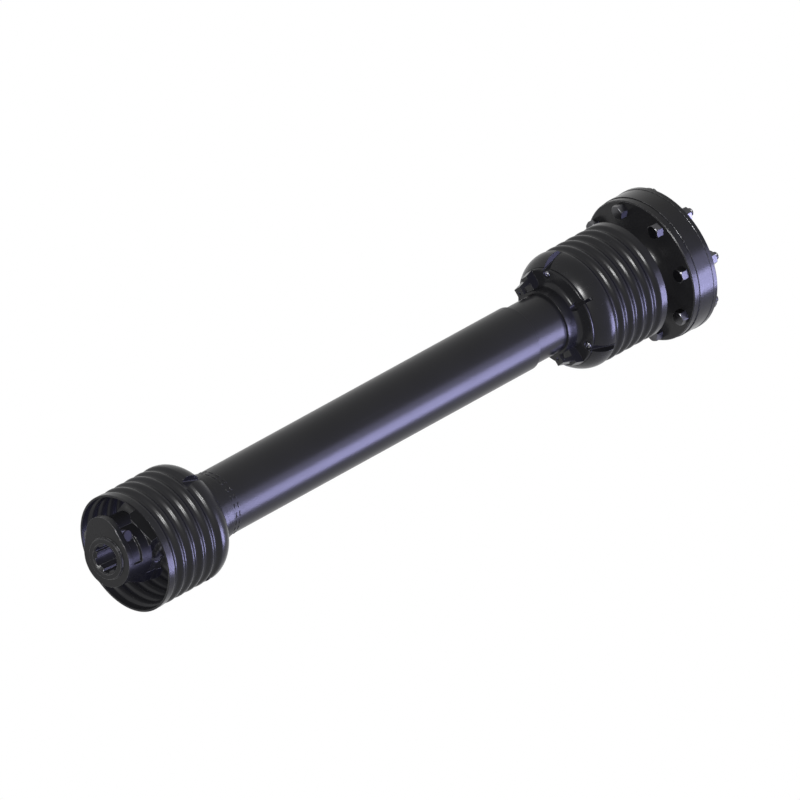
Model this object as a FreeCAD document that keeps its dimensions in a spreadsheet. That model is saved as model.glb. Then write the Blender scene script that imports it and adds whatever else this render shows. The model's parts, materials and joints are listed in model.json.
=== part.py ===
import FreeCAD, Part
import math
import os
import re
import Sketcher

# PTO drive shaft with ribbed bell shields, telescoping guard and friction clutch
#
# X runs along the shaft, from the tractor yoke to the implement hub, and Z is up. The origin is the
# mouth of the implement hub's bore. Stations along the shaft are counted from the centre of the near
# cross. Each joint group is drawn about the centre of its own cross, and each bell group from the plane
# of its own mouth. Lengths are millimetres and angles are degrees.

SIZES = {
    # Places along the shaft
    "CrossInset": 54.0,
    "FarMouth": 761.6,
    "Phase": 22.5,
    "RestTilt": 8.0,
    "FitGap": 0.05,
    "RunGap": 0.3,
    # Bell shields
    "EndRoom": 3.0,
    "WaveFirst": 15.6,
    "WaveDepth": 4.2,
    "ShieldWall": 2.4,
    "CrestFlat": 0.25,
    "DomeLength": 22.5,
    "DomeDrop": 10.7,
    "NearStep": 1.5,
    "FarStep": 1.0,
    "HoleMargin": 5.0,
    # Guard tubes
    "GuardClear": 4.2,
    "GuardWall": 2.4,
    "GuardSlide": 0.4,
    "OuterGuardEnd": 585.0,
    "InnerGuardStart": 200.0,
    # Guard collars
    "PlateThickness": 3.0,
    "NearPlateMargin": 4.8,
    "FarPlateMargin": 6.5,
    "PlateEdge": 1.5,
    "NeckWall": 3.6,
    "NearNeckFillet": 3.0,
    "FarNeckFillet": 6.0,
    "NeckStep": 1.8,
    "NeckStepLength": 10.0,
    "NearNeckLength": 25.0,
    "FarNeckLength": 18.6,
    "LipGap": 1.8,
    "LugAngle": 135.0,
    "LugWidth": 12.0,
    "LugBlockLength": 11.0,
    "LugDrop": 4.5,
    "HookLength": 27.0,
    "HookRise": 10.2,
    "HookThickness": 4.0,
    "HookHoleRadius": 2.0,
    "SlotWidth": 5.0,
    "SlotDepth": 2.0,
    # Guard screws
    "ScrewCount": 3,
    "NearScrewRoom": 4.6,
    "FarScrewRoom": 8.2,
    "ScrewAngle": 105.0,
    "ScrewRadius": 2.1,
    "ScrewHeadRadius": 3.8,
    "ScrewHeadHeight": 2.6,
    "ScrewReach": 7.5,
    # Guard bearing rings
    "RingInset": 1.5,
    "RingWidth": 8.0,
    # Forks of the universal joints
    "EarRadius": 49.0,
    "EarHalfWidth": 22.0,
    "EarRound": 24.0,
    "ForkHalfGap": 31.0,
    "ForkFloor": 38.0,
    "ForkBase": 52.0,
    "ForkCorner": 12.0,
    "ShoulderStart": 21.0,
    "ShoulderHeight": 35.0,
    "HubRadius": 33.0,
    "HubBeyondRing": 18.5,
    "RingGrooveDepth": 3.0,
    # Bearing crosses
    "CapRadius": 15.1,
    "CapInner": 28.5,
    "CapOuter": 45.75,
    "CapFloor": 2.4,
    "TrunnionRadius": 10.0,
    "TrunnionEnd": 43.0,
    "CollarRadius": 13.0,
    "CollarReach": 26.0,
    "BodyReach": 17.0,
    "BodyCorner": 13.2,
    "BodyDepth": 14.5,
    "SealRadius": 13.8,
    "ClipThickness": 1.5,
    "ClipRadius": 16.2,
    "ClipInner": 13.0,
    "ClipGap": 34.0,
    "NippleRadius": 2.4,
    "NippleStart": 17.0,
    # Telescoping drive tubes
    "LobeOffset": 15.5,
    "OuterLobe": 12.0,
    "OuterTubeWall": 4.0,
    "InnerTubeWall": 3.6,
    "SlideGap": 0.4,
    "SocketInset": 4.0,
    "OuterTubeEnd": 570.0,
    "InnerTubeStart": 150.0,
    "TubePinInset": 9.0,
    "TubePinRadius": 4.0,
    "TubePinBore": 2.4,
    # Splined bores
    "SplineMajor": 17.45,
    "SplineMinor": 14.95,
    "SplineWidth": 8.8,
    "SplineCount": 6,
    # Tractor yoke
    "YokeMouth": 92.0,
    "YokeHubRadius": 35.0,
    "BossRadius": 25.5,
    "BossHeight": 3.0,
    "EggThickness": 8.0,
    "LobeAngle": 45.0,
    "LobeRadius": 25.0,
    "LobeCentre": 25.0,
    "RidgeHalfWidth": 15.0,
    "RidgeTop": 45.0,
    "RecessFloor": 31.0,
    "RecessStart": 81.0,
    "RecessEnd": 66.0,
    "RecessAngle": 126.5,
    "RecessSpread": 52.0,
    # Push pin
    "PinStation": 74.0,
    "PinRadius": 6.5,
    "PinOffset": 22.95,
    "PinWaist": 4.5,
    "PinTravel": 12.0,
    "PinButton": 40.0,
    "PinTail": 7.0,
    "PinCapStart": 24.5,
    "PinCapThickness": 2.0,
    "SpringWire": 0.6,
    "SpringTurns": 5,
    # Flange yoke and friction clutch
    "FlangeFace": 83.2,
    "FlangeThickness": 9.0,
    "FlangeRadius": 88.6,
    "FlareRadius": 22.6,
    "NeckRadius": 34.0,
    "BushOuter": 27.1,
    "NoseRadius": 24.0,
    "NoseStart": 83.0,
    "PilotDepth": 10.5,
    "BandRadius": 89.5,
    "BandInner": 70.6,
    "BandLength": 22.2,
    "BackPlateRadius": 90.0,
    "BackPlateThickness": 5.5,
    "BackPlateHole": 34.5,
    "LiningThickness": 3.4,
    "LiningInner": 40.0,
    "PlateOuter": 70.0,
    "HubPlateThickness": 6.0,
    "PressurePlateThickness": 4.0,
    "DiscSpringThickness": 2.4,
    "DiscSpringInner": 46.0,
    "HubEnd": 155.0,
    "BoltCircle": 77.0,
    "BoltCount": 8,
    "BoltRadius": 5.0,
    "BoltHoleRadius": 5.2,
    "BoltHeadFlats": 8.0,
    "BoltHeadHeight": 10.5,
    "BoltTip": 137.0,
    "WasherRadius": 10.0,
    "WasherThickness": 2.5,
    "NutHeight": 8.4,
    "ClampStation": 143.0,
    "ClampSeat": 23.5,
    "ClampSeatRadius": 11.0,
    "ClampFlats": 9.0,
    "ClampRadius": 6.0,
    "ClampHeadHeight": 7.5,
    "ClampTip": 37.0,
}

# Sizes that follow from others. Each rule uses only the sizes above and the rules before it.
WAVE_COUNT = 5
FOLLOWS = {
    "ShieldLength": "CrossInset + ForkBase + EndRoom",
    "DomeStart": "ShieldLength - DomeLength",
    "WavePitch": f"(DomeStart - CrestFlat - WaveFirst) / {WAVE_COUNT - 0.5}",
    "InnerGuardRadius": "HubRadius + GuardClear",
    "OuterGuardRadius": "InnerGuardRadius + GuardWall + GuardSlide",
    "ShieldHoleRadius": "OuterGuardRadius + HoleMargin",
    "CollarLipRadius": "HubRadius + LipGap",
    "NearScrewCircle": "OuterGuardRadius + NeckWall + NearNeckFillet + NearScrewRoom",
    "FarScrewCircle": "InnerGuardRadius + NeckWall + FarNeckFillet + FarScrewRoom",
    "NearPlateRadius": "NearScrewCircle + NearPlateMargin",
    "FarPlateRadius": "FarScrewCircle + FarPlateMargin",
    "NearShoulder": "NearPlateRadius + NearStep",
    "FarShoulder": "FarPlateRadius + FarStep",
    "CrestRadius": "FarShoulder + DomeDrop",
    "CollarFace": "ShieldLength + PlateThickness",
    "RingStart": "CollarFace + RingInset",
    "NearNeckEnd": "CollarFace + NearNeckLength",
    "FarNeckEnd": "CollarFace + FarNeckLength",
    "LugBlockEnd": "CollarFace + LugBlockLength",
    "LugBlockRadius": "FarShoulder - LugDrop",
    "HookEnd": "CollarFace + HookLength",
    "HookRadius": "InnerGuardRadius + NeckWall + HookRise",
    "TubeHubEnd": "RingStart + RingWidth - CrossInset + HubBeyondRing",
    "SocketStart": "ForkBase + SocketInset",
    "TubePinStation": "TubeHubEnd - TubePinInset",
}

document = FreeCAD.newDocument("PtoShaft")
sheet = document.addObject("Spreadsheet::Sheet", "Sizes")
for row, (alias, number) in enumerate(SIZES.items(), 1):
    sheet.set(f"A{row}", str(number))
    sheet.setAlias(f"A{row}", alias)
document.recompute()

X_AXIS = FreeCAD.Vector(1, 0, 0)
Y_AXIS = FreeCAD.Vector(0, 1, 0)
Z_AXIS = FreeCAD.Vector(0, 0, 1)
nodes = []


def bound(expression):
    """Write out the rules in an expression and put the sheet's name before every alias."""
    text = str(expression)
    for name, rule in reversed(FOLLOWS.items()):
        text = re.sub(rf"\b{name}\b", f"({rule})", text)
    return re.sub(r"\b[A-Z]\w+", lambda word: "Sizes." + word.group(0), text)


def size(expression):
    """Value of an expression of the sheet's aliases."""
    return float(sheet.evalExpression(bound(expression)))


def origin_feature(body, role):
    """Plane or axis of a body's own origin."""
    return [feature for feature in body.Origin.OriginFeatures if feature.Role == role][0]


def new_body(name, placement):
    """Start one sub-part, drawn in its own group's frame."""
    body = document.addObject("PartDesign::Body", name)
    body.Label = name
    body.Placement = placement
    nodes.append(body)
    return body


def arc_centre(start, end, radius, turn):
    """Centre of the shorter arc from start to end; turn is 1 for anticlockwise and -1 for clockwise."""
    chord = end - start
    left = FreeCAD.Vector(-chord.y, chord.x, 0)
    left.normalize()
    rise = math.sqrt(max(radius ** 2 - (chord.Length / 2) ** 2, 0))
    return (start + end) * 0.5 + left * (turn * rise)


def angle_about(centre, point):
    return math.atan2(point.y - centre.y, point.x - centre.x)


def draw_loop(profile, vertices):
    """Draw one closed outline. A vertex is (x, y), or (x, y, radius, turn) where an arc leaves it."""
    first = profile.GeometryCount
    count = len(vertices)
    points = [FreeCAD.Vector(size(vertex[0]), size(vertex[1]), 0) for vertex in vertices]
    ends = []
    geometry = []
    for index, vertex in enumerate(vertices):
        start = points[index]
        end = points[(index + 1) % count]
        if len(vertex) == 2:
            geometry.append(Part.LineSegment(start, end))
            ends.append((1, 2))
            continue
        radius, turn = size(vertex[2]), vertex[3]
        centre = arc_centre(start, end, radius, turn)
        circle = Part.Circle(centre, Z_AXIS, radius)
        angles = [angle_about(centre, start), angle_about(centre, end)]
        if turn < 0:
            angles.reverse()
        geometry.append(Part.ArcOfCircle(circle, angles[0], angles[1]))
        ends.append((1, 2) if turn > 0 else (2, 1))
    profile.addGeometry(geometry, False)
    rules = []
    for index in range(count):
        after = (index + 1) % count
        rules.append(Sketcher.Constraint("Coincident", first + index, ends[index][1],
                                         first + after, ends[after][0]))
    sized = []
    for index, vertex in enumerate(vertices):
        edge, corner = first + index, ends[index][0]
        sized.append((Sketcher.Constraint("DistanceX", -1, 1, edge, corner, points[index].x), vertex[0]))
        sized.append((Sketcher.Constraint("DistanceY", -1, 1, edge, corner, points[index].y), vertex[1]))
        if len(vertex) > 2:
            sized.append((Sketcher.Constraint("Radius", edge, size(vertex[2])), vertex[2]))
    bind(profile, rules, sized)


def draw_circle(profile, x, y, radius):
    """Draw one full circle."""
    edge = profile.GeometryCount
    centre = FreeCAD.Vector(size(x), size(y), 0)
    profile.addGeometry(Part.Circle(centre, Z_AXIS, size(radius)), False)
    sized = [(Sketcher.Constraint("DistanceX", -1, 1, edge, 3, centre.x), x),
             (Sketcher.Constraint("DistanceY", -1, 1, edge, 3, centre.y), y),
             (Sketcher.Constraint("Radius", edge, size(radius)), radius)]
    bind(profile, [], sized)


def bind(profile, rules, sized):
    """Add constraints, and tie each sized one to its expression."""
    first = profile.ConstraintCount + len(rules)
    profile.addConstraint(rules + [rule for rule, expression in sized])
    for index, (rule, expression) in enumerate(sized):
        profile.setExpression(f"Constraints[{first + index}]", bound(expression))


def sketch(body, plane, loops=(), circles=(), offset="0", turn="0", swing="0"):
    """Sketch on an origin plane, moved along its normal, turned about it or swung about its x axis."""
    profile = body.newObject("Sketcher::SketchObject", "Outline")
    profile.AttachmentSupport = (origin_feature(body, plane), [""])
    profile.MapMode = "FlatFace"
    turned = FreeCAD.Rotation(Z_AXIS, size(turn)) * FreeCAD.Rotation(X_AXIS, size(swing))
    profile.AttachmentOffset = FreeCAD.Placement(FreeCAD.Vector(0, 0, size(offset)), turned)
    profile.setExpression("AttachmentOffset.Base.z", bound(offset))
    for loop in loops:
        draw_loop(profile, loop)
    for circle in circles:
        draw_circle(profile, *circle)
    return profile


def pad(body, profile, length, side="One side", back=False):
    feature = body.newObject("PartDesign::Pad", "Pad")
    feature.Profile = profile
    feature.SideType = side
    feature.Reversed = back
    feature.setExpression("Length", bound(length))
    return feature


def pocket(body, profile, length=None, side="One side", back=False):
    """Cut a profile to a length, or through everything when no length is given."""
    feature = body.newObject("PartDesign::Pocket", "Pocket")
    feature.Profile = profile
    feature.SideType = side
    feature.Reversed = back
    if length is None:
        feature.Type = "ThroughAll"
    else:
        feature.setExpression("Length", bound(length))
    return feature


def turned(body, profile, kind="Revolution", axis="H_Axis", angle="360"):
    """Revolve or groove a profile about one of its own axes."""
    feature = body.newObject("PartDesign::" + kind, kind)
    feature.Profile = profile
    feature.ReferenceAxis = (profile, [axis])
    feature.setExpression("Angle", bound(angle))
    return feature


def around(body, features, count):
    """Repeat features round the X axis."""
    pattern = body.newObject("PartDesign::PolarPattern", "Around")
    pattern.Originals = features
    pattern.Axis = (origin_feature(body, "X_Axis"), [""])
    pattern.Angle = 360
    pattern.setExpression("Occurrences", bound(count))
    body.Tip = pattern
    return pattern


def mirrored(body, features, plane):
    """Repeat features on the other side of an origin plane."""
    pattern = body.newObject("PartDesign::Mirrored", "Mirrored")
    pattern.Originals = features
    pattern.MirrorPlane = (origin_feature(body, plane), [""])
    body.Tip = pattern
    return pattern


def hexagon(flats, x="0", y="0"):
    """Outline of a hexagon with two corners on the local x direction."""
    corner = f"({flats}) / cos(30)"
    return [(f"{x} + {corner} * cos({60 * k})", f"{y} + {corner} * sin({60 * k})") for k in range(6)]


# Frames of the groups
HUB_MOUTH = "FarMouth - CrossInset + HubEnd"
FAR_CROSS = "FarMouth - CrossInset"
ROLL = FreeCAD.Rotation(X_AXIS, size("Phase"))
HALF_TURN = FreeCAD.Rotation(Z_AXIS, 180)
TILT = FreeCAD.Rotation(Y_AXIS, size("RestTilt"))
NO_TURN = FreeCAD.Rotation()


def frame(station, rotation=NO_TURN):
    """Placement of a group whose own origin lies at a station."""
    return FreeCAD.Placement(FreeCAD.Vector(size(f"{station} - ({HUB_MOUTH})"), 0, 0), rotation)


SHAFT_LINE = frame("0")
ROLLED_LINE = frame("0", ROLL)
NEAR_BELL = frame("-CrossInset")
FAR_BELL = frame("FarMouth", HALF_TURN)
NEAR_JOINT = frame("0", ROLL)
NEAR_TILTED = frame("0", ROLL * TILT)
FAR_JOINT = frame(FAR_CROSS, ROLL * HALF_TURN)
FAR_FLANGE = frame(FAR_CROSS, ROLL)


# Bell shields: a wall that waves between crests and valleys, then a dome and a flat end
WAVE_ARC = "((WavePitch / 4) ^ 2 + (WaveDepth / 2) ^ 2) / WaveDepth"
WAVE_SINE = f"(WavePitch / 4) / ({WAVE_ARC})"
WAVE_COSINE = f"sqrt(1 - ({WAVE_SINE}) ^ 2)"
WAVE_MIDDLE = "CrestRadius - WaveDepth / 2"
LAST_CREST = f"WaveFirst + {WAVE_COUNT - 0.5} * WavePitch"


def outer_wave():
    """Outer side of the wave, from the mouth to the last crest."""
    outline = [("WaveFirst - WavePitch / 2", "CrestRadius", WAVE_ARC, -1)]
    for k in range(WAVE_COUNT):
        valley = f"WaveFirst + {k} * WavePitch"
        outline.append((f"{valley} - WavePitch / 4", WAVE_MIDDLE, WAVE_ARC, 1))
        outline.append((f"{valley} + WavePitch / 4", WAVE_MIDDLE, WAVE_ARC, -1))
    return outline


def inner_wave():
    """Inner side of the wave, one wall further in, from the last crest back to the mouth."""
    crest_arc = f"{WAVE_ARC} - ShieldWall"
    valley_arc = f"{WAVE_ARC} + ShieldWall"
    radius = f"{WAVE_MIDDLE} - ShieldWall * {WAVE_COSINE}"
    outline = [(LAST_CREST, "CrestRadius - ShieldWall", crest_arc, 1)]
    for k in reversed(range(WAVE_COUNT)):
        valley = f"WaveFirst + {k} * WavePitch"
        reach = f"(WavePitch / 4 + ShieldWall * {WAVE_SINE})"
        outline.append((f"{valley} + {reach}", radius, valley_arc, -1))
        outline.append((f"{valley} - {reach}", radius, crest_arc, 1))
    return outline


def bell_shield(name, placement, end):
    body = new_body(name, placement)
    inner_end = "ShieldLength - ShieldWall"
    drop = f"(CrestRadius - {end}Shoulder)"
    dome = f"(DomeLength ^ 2 + {drop} ^ 2) / (2 * {drop})"
    reach = f"sqrt(({dome} - ShieldWall) ^ 2 - (DomeLength - ShieldWall) ^ 2)"
    outline = [("0", "CrestRadius")] + outer_wave()
    outline += [
        (LAST_CREST, "CrestRadius"),
        ("DomeStart", "CrestRadius", dome, -1),
        ("ShieldLength", f"{end}Shoulder"),
        ("ShieldLength", "ShieldHoleRadius"),
        (inner_end, "ShieldHoleRadius"),
        (inner_end, f"CrestRadius - {dome} + {reach}", f"{dome} - ShieldWall", 1),
        ("DomeStart", "CrestRadius - ShieldWall"),
    ]
    outline += inner_wave()
    outline += [("WaveFirst - WavePitch / 2", "CrestRadius - ShieldWall"), ("0", "CrestRadius - ShieldWall")]
    turned(body, sketch(body, "XY_Plane", [outline]))
    screw_holes(body, end, "ShieldLength + 1", "ShieldWall + 2")


def screw_holes(body, end, face, depth):
    """Ring of holes for the guard screws, cut back from a face."""
    y = f"{end}ScrewCircle * cos(ScrewAngle)"
    z = f"{end}ScrewCircle * sin(ScrewAngle)"
    hole = sketch(body, "YZ_Plane", circles=[(y, z, "ScrewRadius + FitGap")], offset=face)
    around(body, [pocket(body, hole, depth)], "ScrewCount")


def guard_collar(name, placement, end, tube_radius, stepped):
    """Flat plate against the shield's end, with a filleted neck that grips the guard tube."""
    body = new_body(name, placement)
    neck = f"{tube_radius} + NeckWall"
    neck_end = f"{end}NeckEnd"
    plate = f"{end}PlateRadius"
    fillet = f"{end}NeckFillet"
    outline = [
        ("ShieldLength", "CollarLipRadius"),
        ("ShieldLength", plate),
        ("CollarFace - PlateEdge", plate, "PlateEdge", -1),
        ("CollarFace", f"{plate} - PlateEdge"),
        ("CollarFace", f"{neck} + {fillet}", fillet, 1),
        (f"CollarFace + {fillet}", neck),
    ]
    if stepped:
        outline += [(f"{neck_end} - NeckStepLength", neck),
                    (f"{neck_end} - NeckStepLength", f"{neck} - NeckStep"),
                    (neck_end, f"{neck} - NeckStep")]
    else:
        outline += [(neck_end, neck)]
    outline += [(neck_end, tube_radius), ("RingStart", tube_radius), ("RingStart", "CollarLipRadius")]
    turned(body, sketch(body, "XY_Plane", [outline]))
    screw_holes(body, end, "CollarFace + 1", "PlateThickness + 2")
    slot = [("CollarFace - SlotDepth", f"{neck} + {fillet} / 2"), ("CollarFace - SlotDepth", f"{plate} + 1"),
            ("CollarFace + 1", f"{plate} + 1"), ("CollarFace + 1", f"{neck} + {fillet} / 2")]
    cut = pocket(body, sketch(body, "XY_Plane", [slot], swing="ScrewAngle - 180 / ScrewCount"),
                 "SlotWidth", "Symmetric")
    around(body, [cut], "ScrewCount")
    return body


def collar_lugs(body, neck):
    """Two opposite lugs, each with a pierced hook that stands out past the neck's mouth."""
    root = f"{neck} - NeckWall / 2"
    outline = [
        ("CollarFace - 1", root),
        ("CollarFace - 1", "FarPlateRadius"),
        ("LugBlockEnd", "LugBlockRadius"),
        ("LugBlockEnd", "HookRadius + HookThickness"),
        ("HookEnd", "HookRadius"),
        ("HookEnd", neck),
        ("HookEnd - HookThickness", neck),
        ("HookEnd - HookThickness", "HookRadius - HookThickness"),
        ("LugBlockEnd", "HookRadius - HookThickness / 2"),
        ("LugBlockEnd", root),
    ]
    lug = pad(body, sketch(body, "XY_Plane", [outline], swing="LugAngle"), "LugWidth", "Symmetric")
    middle = f"({neck} + HookRadius - HookThickness) / 2"
    hole = sketch(body, "YZ_Plane", offset="HookEnd + 1",
                  circles=[(f"{middle} * cos(LugAngle)", f"{middle} * sin(LugAngle)", "HookHoleRadius")])
    pierced = pocket(body, hole, "HookThickness + 2")
    around(body, [lug, pierced], "2")


def guard_screws(name, placement, end):
    """Pan-head screws as separate solids."""
    body = new_body(name, placement)
    y = f"{end}ScrewCircle * cos(ScrewAngle)"
    z = f"{end}ScrewCircle * sin(ScrewAngle)"
    head = pad(body, sketch(body, "YZ_Plane", circles=[(y, z, "ScrewHeadRadius")], offset="CollarFace"),
               "ScrewHeadHeight")
    shank = pad(body, sketch(body, "YZ_Plane", circles=[(y, z, "ScrewRadius")], offset="CollarFace - ScrewReach"),
                "ScrewReach")
    around(body, [head, shank], "ScrewCount")


def bearing_ring(name, placement, tube_radius):
    """Ring on which the guard runs, seated in the yoke hub's groove."""
    body = new_body(name, placement)
    inner = "HubRadius - RingGrooveDepth + RunGap"
    end = "RingStart + RingWidth"
    outline = [("RingStart", inner), ("RingStart", tube_radius), (end, tube_radius), (end, inner)]
    turned(body, sketch(body, "XY_Plane", [outline]))


def guard_tube(name, start, end, radius):
    """Plain guard tube between two stations."""
    body = new_body(name, SHAFT_LINE)
    outline = [(start, f"{radius} - GuardWall"), (start, radius), (end, radius), (end, f"{radius} - GuardWall")]
    turned(body, sketch(body, "XY_Plane", [outline]))


TUBE_SEAT = "RingStart + RingWidth + RunGap"
bell_shield("near_shield", NEAR_BELL, "Near")
bell_shield("far_shield", FAR_BELL, "Far")
guard_collar("near_guard_collar", NEAR_BELL, "Near", "OuterGuardRadius", True)
far_collar = guard_collar("far_guard_collar", FAR_BELL, "Far", "InnerGuardRadius", False)
collar_lugs(far_collar, "(InnerGuardRadius + NeckWall)")
guard_screws("near_guard_screws", NEAR_BELL, "Near")
guard_screws("far_guard_screws", FAR_BELL, "Far")
bearing_ring("near_bearing_ring", NEAR_BELL, "OuterGuardRadius")
bearing_ring("far_bearing_ring", FAR_BELL, "InnerGuardRadius")
guard_tube("outer_guard_tube", f"{TUBE_SEAT} - CrossInset", "OuterGuardEnd", "OuterGuardRadius")
guard_tube("inner_guard_tube", "InnerGuardStart", f"FarMouth - ({TUBE_SEAT})", "InnerGuardRadius")


# Forks: a block seen along its ears, with the gap, the shoulders, the cap bores and the clip grooves cut
def fork(body, ears, way):
    """Fork about the cross centre. ears is the ear axis, Y or Z, and way is 1 or -1 along X for the base."""
    plan, side, axis = ("XZ_Plane", "XY_Plane", "V_Axis") if ears == "Y" else ("XY_Plane", "XZ_Plane", "V_Axis")
    root = "sqrt(EarRound ^ 2 - EarHalfWidth ^ 2)"
    outline = [
        (f"{way} * ForkBase", "-EarHalfWidth"),
        (f"{way} * ForkBase", "EarHalfWidth"),
        (f"{way} * {root}", "EarHalfWidth", "EarRound", way),
        (f"{-way} * EarRound", "0", "EarRound", way),
        (f"{way} * {root}", "-EarHalfWidth"),
    ]
    pad(body, sketch(body, plan, [outline]), "2 * EarRadius", "Symmetric")
    corner = "ForkGapCorner"
    far = f"{-way} * (EarRound + 2)"
    bend = f"{way} * (ForkFloor - ForkCorner)"
    gap = [
        (far, "-ForkHalfGap"),
        (bend, "-ForkHalfGap", "ForkCorner", way),
        (f"{way} * ForkFloor", "ForkCorner - ForkHalfGap"),
        (f"{way} * ForkFloor", "ForkHalfGap - ForkCorner", "ForkCorner", way),
        (bend, "ForkHalfGap"),
        (far, "ForkHalfGap"),
    ]
    pocket(body, sketch(body, side, [gap]), None, "Symmetric")
    shoulders = []
    for hand in (1, -1):
        shoulders.append([
            (f"{way} * ShoulderStart", f"{hand} * (EarRadius + 1)"),
            (f"{way} * ShoulderStart", f"{hand} * EarRadius"),
            (f"{way} * ForkBase", f"{hand} * ShoulderHeight"),
            (f"{way} * (ForkBase + 1)", f"{hand} * ShoulderHeight"),
            (f"{way} * (ForkBase + 1)", f"{hand} * (EarRadius + 1)"),
        ])
    pocket(body, sketch(body, side, shoulders), None, "Symmetric")
    pocket(body, sketch(body, plan, circles=[("0", "0", "CapRadius + FitGap / 2")]), None, "Symmetric")
    grooves = []
    for hand in (1, -1):
        inner = f"{hand} * CapOuter"
        outer = f"{hand} * (CapOuter + ClipThickness + 2 * FitGap)"
        grooves.append([("0", inner), ("ClipRadius", inner), ("ClipRadius", outer), ("0", outer)])
    turned(body, sketch(body, side, grooves), "Groove", axis)


def lobed(lobe):
    """Three-lobed outline: arcs at the corners and straight sides between them."""
    outline = []
    for k in range(3):
        centre = 90 + 120 * k
        for edge in (centre - 60, centre + 60):
            y = f"LobeOffset * cos({centre}) + ({lobe}) * cos({edge})"
            z = f"LobeOffset * sin({centre}) + ({lobe}) * sin({edge})"
            outline.append((y, z, lobe, 1) if edge < centre else (y, z))
    return outline


INNER_LOBE = "OuterLobe - OuterTubeWall - SlideGap"


def tube_yoke(name, placement, lobe):
    """Fork with a grooved hub whose lobed socket holds a drive tube."""
    body = new_body(name, placement)
    fork(body, "Y", 1)
    groove_start = "RingStart - CrossInset - RunGap"
    groove_end = "RingStart + RingWidth - CrossInset + RunGap"
    floor = "HubRadius - RingGrooveDepth"
    hub = [("ForkBase - 2", "0"), ("ForkBase - 2", "HubRadius"), (groove_start, "HubRadius"),
           (groove_start, floor), (groove_end, floor), (groove_end, "HubRadius"),
           ("TubeHubEnd - 1", "HubRadius"), ("TubeHubEnd", "HubRadius - 1"), ("TubeHubEnd", "0")]
    turned(body, sketch(body, "XY_Plane", [hub]))
    pocket(body, sketch(body, "YZ_Plane", [lobed(lobe)], offset="TubeHubEnd + 1"),
           "TubeHubEnd + 1 - SocketStart")
    hole = sketch(body, "XY_Plane", circles=[("TubePinStation", "0", "TubePinRadius + FitGap / 2")])
    pocket(body, hole, None, "Symmetric")


def profile_tube(name, start, end, lobe, wall, pin):
    """Lobed drive tube between two stations, pierced for its pin."""
    body = new_body(name, ROLLED_LINE)
    pad(body, sketch(body, "YZ_Plane", [lobed(lobe)], offset=start), f"{end} - ({start})")
    pocket(body, sketch(body, "YZ_Plane", [lobed(f"{lobe} - {wall}")], offset=f"{end} + 1"),
           f"{end} - ({start}) + 2")
    hole = sketch(body, "XY_Plane", circles=[(pin, "0", "TubePinRadius + FitGap / 2")])
    pocket(body, hole, None, "Symmetric")


def tube_pin(name, placement):
    """Slit spring pin across hub and tube."""
    body = new_body(name, placement)
    profile = sketch(body, "XY_Plane", circles=[("TubePinStation", "0", "TubePinRadius")])
    pad(body, profile, "2 * HubRadius - 0.6", "Symmetric")
    bore = sketch(body, "XY_Plane", circles=[("TubePinStation", "0", "TubePinBore")])
    pocket(body, bore, None, "Symmetric")


tube_yoke("near_tube_yoke", NEAR_JOINT, "OuterLobe")
tube_yoke("far_tube_yoke", FAR_JOINT, INNER_LOBE)
profile_tube("outer_profile_tube", "SocketStart", "OuterTubeEnd", "OuterLobe", "OuterTubeWall",
             "TubePinStation")
profile_tube("inner_profile_tube", "InnerTubeStart", f"{FAR_CROSS} - SocketStart", INNER_LOBE,
             "InnerTubeWall", f"{FAR_CROSS} - TubePinStation")
tube_pin("near_tube_pin", NEAR_JOINT)
tube_pin("far_tube_pin", FAR_JOINT)


# Bearing crosses with their caps, clips, seals and grease nipples
NIPPLE_SEAT = "(BodyReach + BodyCorner) / sqrt(2)"
NIPPLE_HEAD = "1.6 * NippleRadius"


def cross(name, placement):
    """Forged block with four collared trunnions and a drilled seat for the nipple."""
    body = new_body(name, placement)
    ends = (("BodyReach", "BodyCorner"), ("BodyCorner", "BodyReach"))
    block = [(f"{y} * {reach}", f"{z} * {rise}")
             for y, z, pair in ((1, 1, ends), (-1, 1, ends[::-1]), (-1, -1, ends), (1, -1, ends[::-1]))
             for reach, rise in pair]
    pad(body, sketch(body, "YZ_Plane", [block]), "2 * BodyDepth", "Symmetric")
    half = [("0", "TrunnionEnd"), ("TrunnionRadius - 1", "TrunnionEnd"), ("TrunnionRadius", "TrunnionEnd - 1"),
            ("TrunnionRadius", "CollarReach"), ("CollarRadius", "CollarReach")]
    other = [(radius, f"-({reach})") for radius, reach in reversed(half)]
    for plane in ("XY_Plane", "XZ_Plane"):
        turned(body, sketch(body, plane, [half + other]), "Revolution", "V_Axis")
    bore = "NippleRadius + FitGap"
    spot = f"{NIPPLE_HEAD} + FitGap"
    seat = [("NippleStart - FitGap", "0"), ("NippleStart - FitGap", bore), (NIPPLE_SEAT, bore),
            (NIPPLE_SEAT, spot), ("CollarReach", spot), ("CollarReach", "0")]
    turned(body, sketch(body, "YZ_Plane", [seat], turn="45"), "Groove")


def paired(name, placement, ears, outline, angle="360"):
    """Two like pieces, turned about the ear axis and mirrored across the shaft."""
    body = new_body(name, placement)
    side, mirror = ("XY_Plane", "XZ_Plane") if ears == "Y" else ("XZ_Plane", "XY_Plane")
    piece = turned(body, sketch(body, side, [outline]), "Revolution", "V_Axis", angle)
    mirrored(body, [piece], mirror)


CAP_BORE_END = "CapOuter - CapFloor"
CAP = [("TrunnionRadius + FitGap", "CapInner"), ("CapRadius", "CapInner"), ("CapRadius", "CapOuter"),
       ("0", "CapOuter"), ("0", CAP_BORE_END), ("TrunnionRadius + FitGap", CAP_BORE_END)]
CLIP = [("ClipInner", "CapOuter + FitGap"), ("ClipRadius - FitGap", "CapOuter + FitGap"),
        ("ClipRadius - FitGap", "CapOuter + FitGap + ClipThickness"),
        ("ClipInner", "CapOuter + FitGap + ClipThickness")]


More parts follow.
